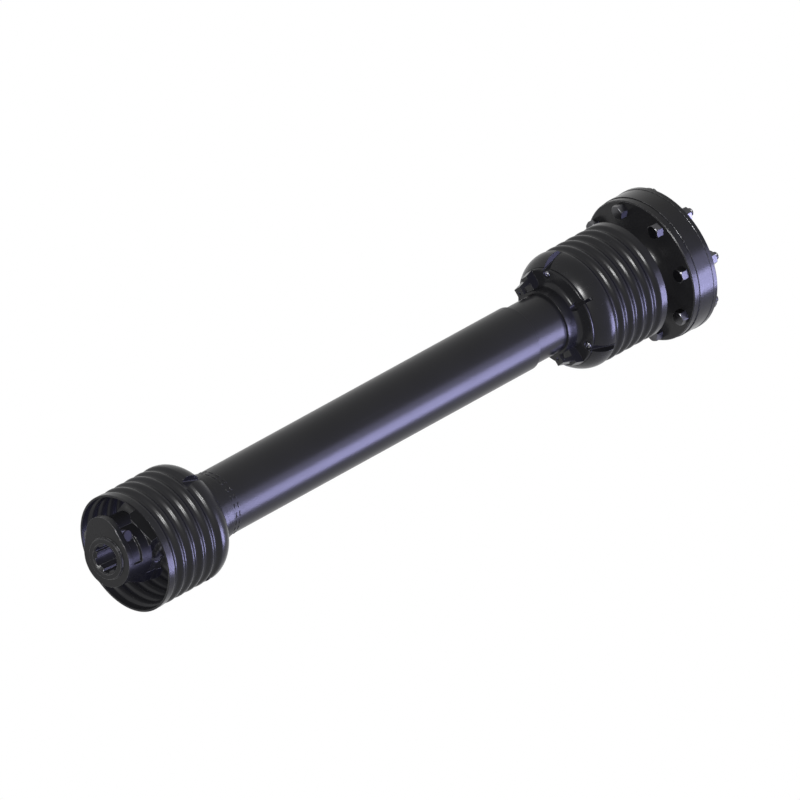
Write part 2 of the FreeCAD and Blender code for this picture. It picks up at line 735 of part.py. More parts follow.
def seals(name, placement):
    """Four seals, one at the root of each trunnion."""
    body = new_body(name, placement)
    end = "CapInner - RunGap"
    outline = [("TrunnionRadius", "CollarReach"), ("SealRadius", "CollarReach"), ("SealRadius", end),
               ("TrunnionRadius", end)]
    first = turned(body, sketch(body, "XY_Plane", [outline]), "Revolution", "V_Axis")
    around(body, [first], "4")


def grease_nipple(name, placement):
    """Nipple in the web of the cross, between two arms."""
    body = new_body(name, placement)
    outline = [("NippleStart", "0"), ("NippleStart", "NippleRadius"), (NIPPLE_SEAT, "NippleRadius"),
               (NIPPLE_SEAT, NIPPLE_HEAD), (f"{NIPPLE_SEAT} + 2.5", NIPPLE_HEAD),
               (f"{NIPPLE_SEAT} + 2.5", "0.8 * NippleRadius"), (f"{NIPPLE_SEAT} + 6", "0.8 * NippleRadius"),
               (f"{NIPPLE_SEAT} + 7", "1.1 * NippleRadius"), (f"{NIPPLE_SEAT} + 9", "0.7 * NippleRadius"),
               (f"{NIPPLE_SEAT} + 9", "0")]
    turned(body, sketch(body, "YZ_Plane", [outline], turn="45"))


cross("near_cross", NEAR_TILTED)
cross("far_cross", FAR_FLANGE)
for end, tube_frame, fork_frame in (("near", NEAR_JOINT, NEAR_TILTED), ("far", FAR_JOINT, FAR_FLANGE)):
    fork_name = "near_yoke" if end == "near" else "flange_yoke"
    paired(f"{end}_tube_caps", tube_frame, "Y", CAP)
    paired(f"{fork_name}_caps", fork_frame, "Z", CAP)
    paired(f"{end}_tube_circlips", tube_frame, "Y", CLIP, "360 - ClipGap")
    paired(f"{fork_name}_circlips", fork_frame, "Z", CLIP, "360 - ClipGap")
    seals(f"{end}_cross_seals", fork_frame)
    grease_nipple(f"{end}_grease_nipple", fork_frame)


# Splined bores
def spline_bore():
    """Outline of a six-splined bore: wide slots at the major radius and lands at the minor radius."""
    outline = []
    half = "SplineWidth / 2"
    slot = f"sqrt(SplineMajor ^ 2 - ({half}) ^ 2)"
    land = f"sqrt(SplineMinor ^ 2 - ({half}) ^ 2)"
    for k in range(SIZES["SplineCount"]):
        turn = 360 / SIZES["SplineCount"] * k
        for reach, hand, radius in ((land, -1, None), (slot, -1, "SplineMajor"), (slot, 1, None),
                                    (land, 1, "SplineMinor")):
            y = f"{reach} * cos({turn}) - {hand} * {half} * sin({turn})"
            z = f"{reach} * sin({turn}) + {hand} * {half} * cos({turn})"
            outline.append((y, z, radius, 1) if radius else (y, z))
    return outline


# Tractor yoke: fork, round hub, egg-shaped collar over the push pin, side recess and splined bore
def tractor_yoke():
    body = new_body("near_yoke", NEAR_TILTED)
    fork(body, "Z", -1)
    hub = [("-YokeMouth", "0"), ("-YokeMouth", "BossRadius - 1"), ("-YokeMouth + 1", "BossRadius"),
           ("-YokeMouth + BossHeight", "BossRadius"), ("-YokeMouth + BossHeight", "YokeHubRadius - 2"),
           ("-YokeMouth + BossHeight + 2", "YokeHubRadius"), ("2 - ForkBase", "YokeHubRadius"),
           ("2 - ForkBase", "0")]
    turned(body, sketch(body, "XY_Plane", [hub]))
    recess = [("-RecessStart", "RecessFloor"), ("-RecessStart", "YokeHubRadius + 1"),
              ("-RecessEnd", "YokeHubRadius + 1"), ("-RecessEnd", "RecessFloor")]
    turned(body, sketch(body, "XY_Plane", [recess], swing="RecessAngle - RecessSpread / 2"), "Groove",
           angle="RecessSpread")
    cosine = "(YokeHubRadius - LobeRadius) / LobeCentre"
    sine = f"sqrt(1 - ({cosine}) ^ 2)"
    egg = [(f"YokeHubRadius * {cosine}", f"-YokeHubRadius * {sine}"),
           (f"LobeCentre + LobeRadius * {cosine}", f"-LobeRadius * {sine}", "LobeRadius", 1),
           ("LobeCentre + LobeRadius", "0", "LobeRadius", 1),
           (f"LobeCentre + LobeRadius * {cosine}", f"LobeRadius * {sine}"),
           (f"YokeHubRadius * {cosine}", f"YokeHubRadius * {sine}", "YokeHubRadius", 1),
           ("-YokeHubRadius", "0", "YokeHubRadius", 1)]
    plate = sketch(body, "YZ_Plane", [egg], offset="-YokeMouth + BossHeight", turn="LobeAngle")
    pad(body, plate, "EggThickness")
    ridge = [("SplineMajor + 2", "-RidgeHalfWidth"),
             ("RidgeTop - RidgeHalfWidth", "-RidgeHalfWidth", "RidgeHalfWidth", 1),
             ("RidgeTop", "0", "RidgeHalfWidth", 1),
             ("RidgeTop - RidgeHalfWidth", "RidgeHalfWidth"), ("SplineMajor + 2", "RidgeHalfWidth")]
    block = sketch(body, "YZ_Plane", [ridge], offset="-YokeMouth + BossHeight + 1", turn="LobeAngle")
    pad(body, block, "YokeMouth - BossHeight - 1 - ForkBase + 4")
    pocket(body, sketch(body, "YZ_Plane", [spline_bore()], offset="1 - ForkFloor"), "YokeMouth - ForkFloor + 2")
    mouth = [("-YokeMouth - 1", "0"), ("-YokeMouth - 1", "SplineMajor + 2.5"), ("-YokeMouth + 1", "SplineMajor + 0.5"),
             ("-YokeMouth + 3", "SplineMinor"), ("-YokeMouth + 3", "0")]
    turned(body, sketch(body, "XY_Plane", [mouth]), "Groove")
    hole = sketch(body, "XY_Plane", circles=[("-PinStation", "PinOffset", "PinRadius + FitGap")],
                  swing="LobeAngle")
    pocket(body, hole, None, "Symmetric")


PIN_PLACE = FreeCAD.Vector(size("-PinStation"), size("PinOffset * cos(LobeAngle)"),
                           size("PinOffset * sin(LobeAngle)"))
PIN_TURN = FreeCAD.Rotation(X_AXIS, size("LobeAngle")) * FreeCAD.Rotation(Y_AXIS, -90)
PIN_FRAME = NEAR_TILTED * FreeCAD.Placement(PIN_PLACE, PIN_TURN)


def push_pin_set():
    """Pin, return spring and end cap, drawn along the pin's own axis."""
    pin = new_body("push_pin", PIN_FRAME)
    outline = [("-PinButton", "0"), ("-PinButton", "PinRadius - 2"), ("-PinButton + 2", "PinRadius"),
               ("-PinTravel * 1.5", "PinRadius"), ("-PinTravel * 1.5", "PinWaist"),
               ("-PinTravel / 2", "PinWaist"), ("-PinTravel / 2", "PinRadius"),
               ("PinTail", "PinRadius"), ("PinTail", "0")]
    turned(pin, sketch(pin, "XY_Plane", [outline]))
    cap = new_body("push_pin_cap", PIN_FRAME)
    end = "PinCapStart + PinCapThickness"
    outline = [("PinCapStart", "0"), ("PinCapStart", "PinRadius"), (end, "PinRadius"), (end, "0")]
    turned(cap, sketch(cap, "XY_Plane", [outline]))
    spring = new_body("push_pin_spring", PIN_FRAME)
    coil = spring.newObject("PartDesign::AdditiveHelix", "Coil")
    wire = sketch(spring, "XY_Plane",
                  circles=[("PinTail + SpringWire + RunGap", "PinRadius - 2 * SpringWire", "SpringWire")])
    coil.Profile = wire
    coil.ReferenceAxis = (wire, ["H_Axis"])
    coil.Mode = "height-turns-angle"
    coil.setExpression("Height", bound("PinCapStart - PinTail - 2 * SpringWire - 2 * RunGap"))
    coil.setExpression("Turns", bound("SpringTurns"))


tractor_yoke()
push_pin_set()


# Friction clutch on the flange yoke, with stations from the far cross
FLANGE_BACK = "FlangeFace + FlangeThickness"
BAND_END = f"{FLANGE_BACK} + BandLength"
PLATE_END = f"{BAND_END} + BackPlateThickness"
FRONT_LINING = f"{FLANGE_BACK} + 2 * FitGap"
HUB_PLATE = f"{FRONT_LINING} + LiningThickness"
REAR_LINING = f"{HUB_PLATE} + HubPlateThickness"
PRESSURE_PLATE = f"{REAR_LINING} + LiningThickness + FitGap"
DISC_SPRING = f"{PRESSURE_PLATE} + PressurePlateThickness"
BOLT_PLACE = ("BoltCircle", "0")


def bolt_holes(body, face, depth):
    hole = sketch(body, "YZ_Plane", circles=[(*BOLT_PLACE, "BoltHoleRadius")], offset=f"{face} + 1")
    around(body, [pocket(body, hole, f"{depth} + 2")], "BoltCount")


def ring(name, start, end, inner, outer):
    """Plain turned ring about the shaft."""
    body = new_body(name, FAR_FLANGE)
    outline = [(start, inner), (start, outer), (end, outer), (end, inner)]
    turned(body, sketch(body, "XY_Plane", [outline]))
    return body


def flange_yoke():
    body = new_body("flange_yoke", FAR_FLANGE)
    fork(body, "Z", 1)
    outline = [
        ("ForkBase - 2", "0"),
        ("ForkBase - 2", "NeckRadius"),
        ("FlangeFace - FlareRadius", "NeckRadius", "FlareRadius", 1),
        ("FlangeFace", "NeckRadius + FlareRadius"),
        ("FlangeFace", "FlangeRadius - 1"),
        ("FlangeFace + 1", "FlangeRadius"),
        (FLANGE_BACK, "FlangeRadius"),
        (FLANGE_BACK, "BushOuter"),
        (f"{FLANGE_BACK} - PilotDepth", "BushOuter"),
        (f"{FLANGE_BACK} - PilotDepth", "0"),
    ]
    turned(body, sketch(body, "XY_Plane", [outline]))
    bolt_holes(body, FLANGE_BACK, "FlangeThickness")


def clutch_hub():
    body = new_body("clutch_hub", FAR_FLANGE)
    outline = [
        ("NoseStart", "0"), ("NoseStart", "NoseRadius - 1"), ("NoseStart + 1", "NoseRadius"),
        (HUB_PLATE, "NoseRadius"), (HUB_PLATE, "PlateOuter"), (REAR_LINING, "PlateOuter"),
        (REAR_LINING, "HubRadius"), ("HubEnd - 2", "HubRadius"), ("HubEnd", "HubRadius - 2"), ("HubEnd", "0"),
    ]
    turned(body, sketch(body, "XY_Plane", [outline]))
    pocket(body, sketch(body, "YZ_Plane", [spline_bore()], offset="HubEnd + 1"), "HubEnd - NoseStart + 2")
    seats = [pocket(body, sketch(body, "XY_Plane", circles=[("ClampStation", "PinOffset", "ClampSeatRadius")],
                                 offset=f"{hand} * ClampSeat"), "HubRadius", back=hand > 0)
             for hand in (1, -1)]
    hole = sketch(body, "XY_Plane", circles=[("ClampStation", "PinOffset", "ClampRadius + FitGap")])
    pocket(body, hole, None, "Symmetric")
    return seats


def clutch_fasteners():
    """Eight bolts, washers and nuts, and the clamp bolt and nut of the hub."""
    bolts = new_body("clutch_bolts", FAR_FLANGE)
    head = pad(bolts, sketch(bolts, "YZ_Plane", [hexagon("BoltHeadFlats", *BOLT_PLACE)], offset="FlangeFace"),
               "BoltHeadHeight", back=True)
    shank = pad(bolts, sketch(bolts, "YZ_Plane", circles=[(*BOLT_PLACE, "BoltRadius")], offset="FlangeFace"),
                "BoltTip - FlangeFace")
    around(bolts, [head, shank], "BoltCount")
    washers = new_body("clutch_washers", FAR_FLANGE)
    circles = [(*BOLT_PLACE, "WasherRadius"), (*BOLT_PLACE, "BoltHoleRadius")]
    washer = pad(washers, sketch(washers, "YZ_Plane", circles=circles, offset=PLATE_END), "WasherThickness")
    around(washers, [washer], "BoltCount")
    nuts = new_body("clutch_nuts", FAR_FLANGE)
    nut = pad(nuts, sketch(nuts, "YZ_Plane", [hexagon("BoltHeadFlats", *BOLT_PLACE)],
                           [(*BOLT_PLACE, "BoltRadius + FitGap")], offset=f"{PLATE_END} + WasherThickness"),
              "NutHeight")
    around(nuts, [nut], "BoltCount")
    place = ("ClampStation", "PinOffset")
    clamp = new_body("hub_clamp_bolt", FAR_FLANGE)
    pad(clamp, sketch(clamp, "XY_Plane", [hexagon("ClampFlats", *place)], offset="-ClampSeat"),
        "ClampHeadHeight", back=True)
    pad(clamp, sketch(clamp, "XY_Plane", circles=[(*place, "ClampRadius")], offset="-ClampSeat"),
        "ClampSeat + ClampTip")
    clamp_nut = new_body("hub_clamp_nut", FAR_FLANGE)
    pad(clamp_nut, sketch(clamp_nut, "XY_Plane", [hexagon("ClampFlats", *place)],
                          [(*place, "ClampRadius + FitGap")], offset="ClampSeat"), "ClampHeadHeight + 2")


flange_yoke()
band = ring("clutch_housing", FLANGE_BACK, BAND_END, "BandInner", "BandRadius")
bolt_holes(band, BAND_END, "BandLength")
back = ring("clutch_back_plate", BAND_END, PLATE_END, "BackPlateHole", "BackPlateRadius")
bolt_holes(back, PLATE_END, "BackPlateThickness")
ring("front_lining", FRONT_LINING, HUB_PLATE, "LiningInner", "PlateOuter")
ring("rear_lining", REAR_LINING, f"{REAR_LINING} + LiningThickness", "LiningInner", "PlateOuter")
ring("pressure_plate", PRESSURE_PLATE, DISC_SPRING, "LiningInner", "PlateOuter")
ring("clutch_bush", f"{FLANGE_BACK} - PilotDepth + 1", FLANGE_BACK, "NoseRadius + FitGap", "BushOuter")
disc_spring = new_body("disc_spring", FAR_FLANGE)
SPRING_RISE = f"{BAND_END} - ({DISC_SPRING}) - DiscSpringThickness - FitGap"
turned(disc_spring, sketch(disc_spring, "XY_Plane", [[
    (DISC_SPRING, "PlateOuter - 1"),
    (f"{DISC_SPRING} + DiscSpringThickness", "PlateOuter - 1"),
    (f"{DISC_SPRING} + DiscSpringThickness + {SPRING_RISE}", "DiscSpringInner"),
    (f"{DISC_SPRING} + {SPRING_RISE}", "DiscSpringInner"),
]]))
clutch_hub()
clutch_fasteners()


# Build, test and export
document.recompute()
for item in document.Objects:
    if any(word in item.State for word in ("Invalid", "Error")):
        raise RuntimeError(f"{item.Name} ({item.Label}) failed: {item.State}")
    if item.TypeId in ("PartDesign::Pocket", "PartDesign::Groove"):
        if item.Shape.Volume >= item.BaseFeature.Shape.Volume:
            raise RuntimeError(f"{item.Name} cuts nothing from {item.BaseFeature.Name}")
os.makedirs("parts", exist_ok=True)
for node in nodes:
    if node.Shape.isNull() or not node.Shape.isValid() or not node.Shape.Solids:
        raise RuntimeError(f"{node.Label} has no sound solid")
for node in nodes:
    node.Shape.exportStep(f"parts/{node.Label}.step")
    print(node.Label, len(node.Shape.Solids), round(node.Shape.Volume))
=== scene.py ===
import json
import math
from collections import namedtuple

import bpy
from mathutils import Matrix, Vector

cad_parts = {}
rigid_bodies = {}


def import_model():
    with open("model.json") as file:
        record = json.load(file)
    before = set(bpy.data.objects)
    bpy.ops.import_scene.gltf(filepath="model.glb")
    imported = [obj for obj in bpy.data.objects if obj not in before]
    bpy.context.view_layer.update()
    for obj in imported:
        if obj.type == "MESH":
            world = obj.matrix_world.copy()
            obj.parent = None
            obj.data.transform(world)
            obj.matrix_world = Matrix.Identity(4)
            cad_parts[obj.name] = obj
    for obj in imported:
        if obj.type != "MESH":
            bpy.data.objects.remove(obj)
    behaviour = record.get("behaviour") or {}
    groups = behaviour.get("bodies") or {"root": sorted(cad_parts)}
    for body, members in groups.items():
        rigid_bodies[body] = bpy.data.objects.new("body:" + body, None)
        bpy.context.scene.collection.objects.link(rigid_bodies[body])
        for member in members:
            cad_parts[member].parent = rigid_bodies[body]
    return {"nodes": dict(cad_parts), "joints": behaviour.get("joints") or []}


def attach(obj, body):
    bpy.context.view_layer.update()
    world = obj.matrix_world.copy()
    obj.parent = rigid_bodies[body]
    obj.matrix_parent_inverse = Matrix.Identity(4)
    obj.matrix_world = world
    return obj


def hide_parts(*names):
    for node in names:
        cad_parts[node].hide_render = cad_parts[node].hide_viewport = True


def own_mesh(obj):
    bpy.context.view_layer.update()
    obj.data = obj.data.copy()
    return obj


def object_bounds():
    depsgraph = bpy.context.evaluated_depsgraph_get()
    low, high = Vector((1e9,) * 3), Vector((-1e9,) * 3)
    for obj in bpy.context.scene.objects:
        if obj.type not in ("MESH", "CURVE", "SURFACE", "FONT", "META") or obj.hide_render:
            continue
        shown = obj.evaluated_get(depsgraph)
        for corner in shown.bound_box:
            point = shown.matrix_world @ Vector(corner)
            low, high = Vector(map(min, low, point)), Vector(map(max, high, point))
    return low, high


bl_info = {
    "name": "Guarded Drive Shaft",
    "version": (1, 0, 0),
    "blender": (4, 5, 0),
    "location": "View3D > Sidebar > Drive Shaft",
    "description": "Dresses the guarded drive shaft: finishes, fasteners, guard details and the studio",
    "category": "Object",
}

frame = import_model()
CAD_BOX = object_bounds()
NODES = frame["nodes"]

# Stations along the shaft, in metres in the row frame
NEAR_CROSS = -0.8626
FAR_CROSS = -0.155
MOUTH_INSET = 0.054
FLANGE_FACE = FAR_CROSS + 0.0832
PLATE_BACK = FLANGE_FACE + 0.0367

# Shield and collar, counted from the shield's mouth inwards
SHIELD_WALL = 0.0024
SHIELD_LENGTH = 0.109
CREST_RADIUS = 0.0732
VALLEY_STATION = 0.0784
VALLEY_RADIUS = 0.069
DOME_START = 0.0865
DOME_LENGTH = 0.0225
COLLAR_FACE = SHIELD_LENGTH + 0.003

# Screw channels and latches round each shield
ROUND_EACH_SHIELD = 3
SCREW_ANGLE = math.radians(105)
LATCH_ANGLE = math.radians(42)
CHANNEL_FLOOR = 0.0042
CHANNEL_ROUNDING = 0.0012
SEAT_RADIUS = 0.0054
SEAT_DEPTH = 0.0022
SEAT_REACH = 0.002
KEY_RADIUS = 0.0046
KEY_DROP = 0.0023
KEY_REACH = 0.005

# One guarded end: its body, the circle of its screws, the shoulder where its dome ends, the radius of its
# collar's neck, and the place of what is drawn from its mouth inwards
GuardEnd = namedtuple("GuardEnd", "name body screw_circle shoulder neck mouth")
GUARD_ENDS = (
    GuardEnd("near", "outer_guard", 0.0512, 0.0575, 0.0466,
             Matrix.Translation((NEAR_CROSS - MOUTH_INSET, 0, 0))),
    GuardEnd("far", "inner_guard", 0.0550, 0.0625, 0.0468,
             Matrix.Translation((FAR_CROSS + MOUTH_INSET, 0, 0)) @ Matrix.Rotation(math.pi, 4, "Z")),
)

# Clutch bolts and nuts, counted from the flange's face
BOLT_CIRCLE = 0.077
BOLT_PHASE = math.radians(22.5)
BOLT_TIP = 0.0538
TIP_LENGTH = 0.0009
TIP_TOP_DROP = 0.0002
TIP_DROP = 0.0012
FACE_RING = 0.0006
FACE_RING_SHARE = 0.98
HEAD_CHAMFER = 0.0014
THREAD_DEPTH = 0.00075
THREAD_LEAD = 0.004
WASHER = 0.0025
NUT_HEIGHT = 0.0084
NUT_CHAMFER = 0.0012
NUT_CLEARANCE = 0.00015
NUT_MOUTH = 0.0021

# Guard screws, counted from the underside of the head, and the size of each half of their cross slot
SCREW_LENGTH = 0.0075
SCREW_POINT = 0.0012
SCREW_RADIUS = 0.0021
SCREW_HEAD_RADIUS = 0.0038
SCREW_HEAD_HEIGHT = 0.0026
SCREW_HEAD_EDGE = 0.0004
CROSS_SLOT = (0.0028, 0.0009, 0.0046)

# Raised marks on the outer guard tube, with their stations counted from the near cross
MARK_SIZE = (0.0022, 0.0010, 0.0062)
MARK_STATIONS = (0.0880, 0.0936)
MARK_RADIUS = 0.0399
MARK_ROUNDING = 0.00035

# Modelling: how far a cutter passes a face, a radius outside everything that is cut, the distance at which
# points merge, the steps of a turned piece, and the cone that rounds off a hexagon (its radius behind and at
# its shoulder over the corner's, and at its end over half the flats)
PAST = 0.001
OUTSIDE = 0.09
MERGE = 1e-6
FINE_STEPS = 36
ROUND_STEPS = 28
CONE_BEHIND = 1.1
CONE_SHOULDER = 1.02
CONE_END = 0.97

# Finishes that have no setting of their own
GLOSS = 0.16
NYLON = (0.55, 0.54, 0.5)
WORN_PAINT = (0.22, 0.22, 0.23)
SPRING_STEEL = (0.2, 0.2, 0.21)
BLACK_OXIDE = (0.1, 0.1, 0.105)
DULL_OXIDE = (0.025, 0.025, 0.027)
BOLT_OXIDE = (0.075, 0.075, 0.08)
SCREW_OXIDE = (0.16, 0.16, 0.17)
BRASS = (0.6, 0.42, 0.17)
BRASS_FLECK = (0.55, 0.4, 0.18)
SEAL_RUBBER = (0.02, 0.02, 0.021)
LINING = (0.1, 0.08, 0.06)

# Studio
WHITE = (1, 1, 1, 1)
CENTRE = Vector((-0.46, 0, 0))
AIM = Vector((-0.4666, 0.0018, 0.00195))
SENSOR = 36
FLOOR_SIZE = 14
FLOOR_DROP = 1.6
FLOOR_GREY = (0.8, 0.8, 0.8, 1)
SOFT_SHARE = 0.25

# Smooth shading of the carried-over solids and of the new pieces
SOLID_SMOOTH = math.radians(30)
PIECE_SMOOTH = math.radians(35)

# Places of the nodes in a shader's editor
NODE_WIDTH = 180
NODE_HEIGHT = 220
NODES_IN_ROW = 12


# Shader nodes

class Signal:
    """A shader socket with the usual signs for arithmetic."""

    def __init__(self, work, socket):
        self.work = work
        self.socket = socket

    def maths(self, operation, *values, clamp=False):
        return self.work.node("ShaderNodeMath", {"operation": operation, "use_clamp": clamp},
                              dict(enumerate(values)))

    def __add__(self, other):
        return self.maths("ADD", self, other)

    def __radd__(self, other):
        return self.maths("ADD", other, self)

    def __sub__(self, other):
        return self.maths("SUBTRACT", self, other)

    def __rsub__(self, other):
        return self.maths("SUBTRACT", other, self)

    def __mul__(self, other):
        return self.maths("MULTIPLY", self, other)

    def __rmul__(self, other):
        return self.maths("MULTIPLY", other, self)

    def held(self):
        """The signal kept between 0 and 1."""
        return self.maths("ADD", self, 0.0, clamp=True)

    def ramp(self, low, high):
        """0 below low, 1 above high and smooth between."""
        return self.work.node("ShaderNodeMapRange", {"interpolation_type": "SMOOTHSTEP"},
                              {"Value": self, "From Min": low, "From Max": high})


class NodeWork:
    """The node tree of a material or the world, built up node by node."""

    def __init__(self, owner):
        owner.use_nodes = True
        self.tree = owner.node_tree
        self.tree.nodes.clear()

    def node(self, kind, settings=None, inputs=None, out=0):
        """Add a node with its settings and inputs, and give the signal of one output."""
        row, column = divmod(len(self.tree.nodes), NODES_IN_ROW)
        node = self.tree.nodes.new(kind)
        node.location = (NODE_WIDTH * column, -NODE_HEIGHT * row)
        for key, value in (settings or {}).items():
            setattr(node, key, value)
        for key, value in (inputs or {}).items():
            self.feed(node.inputs[key], value)
        return Signal(self, node.outputs[out])

    def feed(self, socket, value):
        if isinstance(value, Signal):
            self.tree.links.new(value.socket, socket)
        elif value is not None:
            socket.default_value = value

    def seen(self):
        """1 for the rays that show the background: straight, mirrored or through glass."""
        camera, glossy, through = (self.node("ShaderNodeLightPath", out=f"Is {way} Ray")
                                   for way in ("Camera", "Glossy", "Transmission"))
        return (camera + glossy + through).held()

    def end(self, kind, shader):
        """Lead the finished shader to the tree's output."""
        output = self.tree.nodes.new(kind)
        output.location = (NODE_WIDTH * (NODES_IN_ROW + 1), 0)
        self.tree.links.new(shader.socket, output.inputs["Surface"])


class Finish(NodeWork):
    """One procedural material, with its patterns on object coordinates."""

    def __init__(self, name):
        self.material = bpy.data.materials.new(name)
        super().__init__(self.material)
        self.place = self.node("ShaderNodeTexCoord", out="Object")

    def noise(self, scale, detail=3.0, rough=0.55, place=None):
        return self.node("ShaderNodeTexNoise", None, {"Vector": place or self.place, "Scale": scale,
                                                      "Detail": detail, "Roughness": rough})

    def stretched(self, along):
        """Object coordinates stretched along the shaft, for drawn marks."""
        return self.node("ShaderNodeMapping", {"vector_type": "TEXTURE"},
                         {"Vector": self.place, "Scale": (along, 1.0, 1.0)})

    def mix(self, mask, first, second):
        return self.node("ShaderNodeMix", {"data_type": "RGBA"}, {0: mask, 6: first, 7: second}, out=2)

    def bump(self, height, distance, strength=1.0, normal=None):
        return self.node("ShaderNodeBump", None, {"Height": height, "Distance": distance,
                                                  "Strength": strength, "Normal": normal})

    def edges(self, radius):
        """Rounded normal, and a mask that is 1 on the edges it rounds."""
        rounded = self.node("ShaderNodeBevel", {"samples": 4}, {"Radius": radius})
        flat = self.node("ShaderNodeNewGeometry", out="Normal")
        agree = self.node("ShaderNodeVectorMath", {"operation": "DOT_PRODUCT"}, {0: rounded, 1: flat},
                          out="Value")
        return rounded, (1.0 - agree.ramp(0.86, 0.99))

    def surface(self, **sockets):
        """End the material with a shader whose sockets are named in small letters."""
        named = {name.replace("_", " ").title().replace("Ior", "IOR"): value
                 for name, value in sockets.items()}
        self.end("ShaderNodeOutputMaterial", self.node("ShaderNodeBsdfPrincipled", None, named))
        return self.material


def rgb(colour, gain=1.0):
    """A colour for a shader socket, made lighter or darker."""
    return (colour[0] * gain, colour[1] * gain, colour[2] * gain, 1.0)


def moulded_plastic(name, colour, roughness, grain):
    """Satin moulding: soft cloudy tone, fine grain, light rubs on the edges and a little dust."""
    f = Finish(name)
    rounded, worn = f.edges(0.0007)
    cloud = f.noise(14, 4)
    fine = f.noise(900, 2)
    scuff = (f.noise(60, 6, 0.7).ramp(0.56, 0.72) * f.noise(420, 2).ramp(0.45, 0.7)).held()
    tone = f.mix(cloud.ramp(0.3, 0.7), rgb(colour, 0.88), rgb(colour, 1.12))
    tone = f.mix((worn * 0.30 + scuff * 0.16).held(), tone, rgb(colour, 2.6))
    rough = (roughness + (cloud - 0.5) * 0.12 + scuff * 0.10).held()
    relief = f.bump(fine, 0.00012, grain, rounded)
    return f.surface(base_color=tone, roughness=rough, normal=relief, specular_ior_level=GLOSS)


def extruded_plastic(name, colour, roughness):
    """Smooth tube: faint draw lines along its length and long handling rubs."""
    f = Finish(name)
    lines = f.noise(900, 3, 0.6, f.stretched(90.0))
    cloud = f.noise(9, 3)
    rub = f.noise(120, 5, 0.7, f.stretched(16.0)).ramp(0.6, 0.74).held()
    tone = f.mix(cloud.ramp(0.3, 0.7), rgb(colour, 0.9), rgb(colour, 1.1))
    tone = f.mix(rub * 0.16, tone, rgb(colour, 2.4))
    rough = (roughness + (cloud - 0.5) * 0.10 + rub * 0.10).held()
    rounded, _ = f.edges(0.0006)
    relief = f.bump(lines, 0.00005, 0.25, rounded)
    return f.surface(base_color=tone, roughness=rough, normal=relief, specular_ior_level=GLOSS)


def painted_forging(name, colour, roughness, skin):
    """Paint over forged or machined steel: orange peel, forged skin and rubbed edges."""
    f = Finish(name)
    rounded, worn = f.edges(0.0009)
    peel = f.noise(700, 3)
    forged = f.noise(150, 4, 0.6)
    cloud = f.noise(24, 4)
    chips = (worn * f.noise(260, 4, 0.7).ramp(0.42, 0.62)).held()
    tone = f.mix(cloud.ramp(0.3, 0.7), rgb(colour, 0.85), rgb(colour, 1.15))
    tone = f.mix((chips * 0.55 + worn * 0.15).held(), tone, rgb(WORN_PAINT))
    rough = (roughness + (cloud - 0.5) * 0.14 + chips * 0.08).held()
    relief = f.bump(forged, 0.0004, skin, f.bump(peel, 0.0001, 0.25, rounded))
    return f.surface(base_color=tone, roughness=rough, metallic=(chips * 0.8).held(), normal=relief,
                     specular_ior_level=GLOSS)


def bright_steel(name, colour, roughness, along=1.0):
    """Bare steel with turned or drawn marks, oil stains and softened edges."""
    f = Finish(name)
    rounded, worn = f.edges(0.0005)
    marks = f.noise(700, 3, 0.6, f.stretched(along))
    stain = f.noise(45, 4)
    tone = f.mix(stain.ramp(0.4, 0.7), rgb(colour), rgb(colour, 0.62))
    tone = f.mix(worn * 0.4, tone, rgb(colour, 1.35))
    rough = (roughness + (stain - 0.5) * 0.2 + (marks - 0.5) * 0.1).held()
    relief = f.bump(marks, 0.00006, 0.4, rounded)
    return f.surface(base_color=tone, roughness=rough, metallic=1.0, normal=relief)


def rubber(name, colour):
    """Dull rubber with a fine grain."""
    f = Finish(name)
    fine = f.noise(1100, 2)
    cloud = f.noise(60, 3)
    tone = f.mix(cloud.ramp(0.3, 0.7), rgb(colour, 0.8), rgb(colour, 1.3))
    return f.surface(base_color=tone, roughness=(0.6 + (cloud - 0.5) * 0.2).held(),
                     normal=f.bump(fine, 0.0001, 0.4))


def friction_lining(name, colour):
    """Pressed lining: dense speckle of fibres and brass flecks."""
    f = Finish(name)
    speck = f.noise(1300, 4, 0.7)
    fleck = f.node("ShaderNodeTexVoronoi", None, {"Vector": f.place, "Scale": 900.0})
    tone = f.mix(speck.ramp(0.35, 0.65), rgb(colour, 0.6), rgb(colour, 1.5))
    tone = f.mix(1.0 - fleck.ramp(0.08, 0.16), tone, rgb(BRASS_FLECK))
    return f.surface(base_color=tone, roughness=0.85, normal=f.bump(speck, 0.0003, 0.5))


# Settings

class ShaftFinishes(bpy.types.PropertyGroup):
    """Colours and gloss of the shaft's finishes."""
    plastic_colour: bpy.props.FloatVectorProperty(
        name="Guard Plastic", description="Colour of the plastic guards", subtype="COLOR", size=3,
        min=0, max=1, default=(0.008, 0.008, 0.009))
    plastic_roughness: bpy.props.FloatProperty(
        name="Guard Roughness", description="How dull the moulded guards are", subtype="FACTOR",
        min=0, max=1, default=0.25)
    tube_roughness: bpy.props.FloatProperty(
        name="Tube Roughness", description="How dull the guard tubes are", subtype="FACTOR",
        min=0, max=1, default=0.30)
    paint_colour: bpy.props.FloatVectorProperty(
        name="Paint", description="Colour of the painted steel", subtype="COLOR", size=3,
        min=0, max=1, default=(0.008, 0.008, 0.0086))
    paint_roughness: bpy.props.FloatProperty(
        name="Paint Roughness", description="How dull the painted steel is", subtype="FACTOR",
        min=0, max=1, default=0.25)
    steel_colour: bpy.props.FloatVectorProperty(
        name="Steel", description="Colour of the bare steel", subtype="COLOR", size=3,
        min=0, max=1, default=(0.42, 0.42, 0.44))


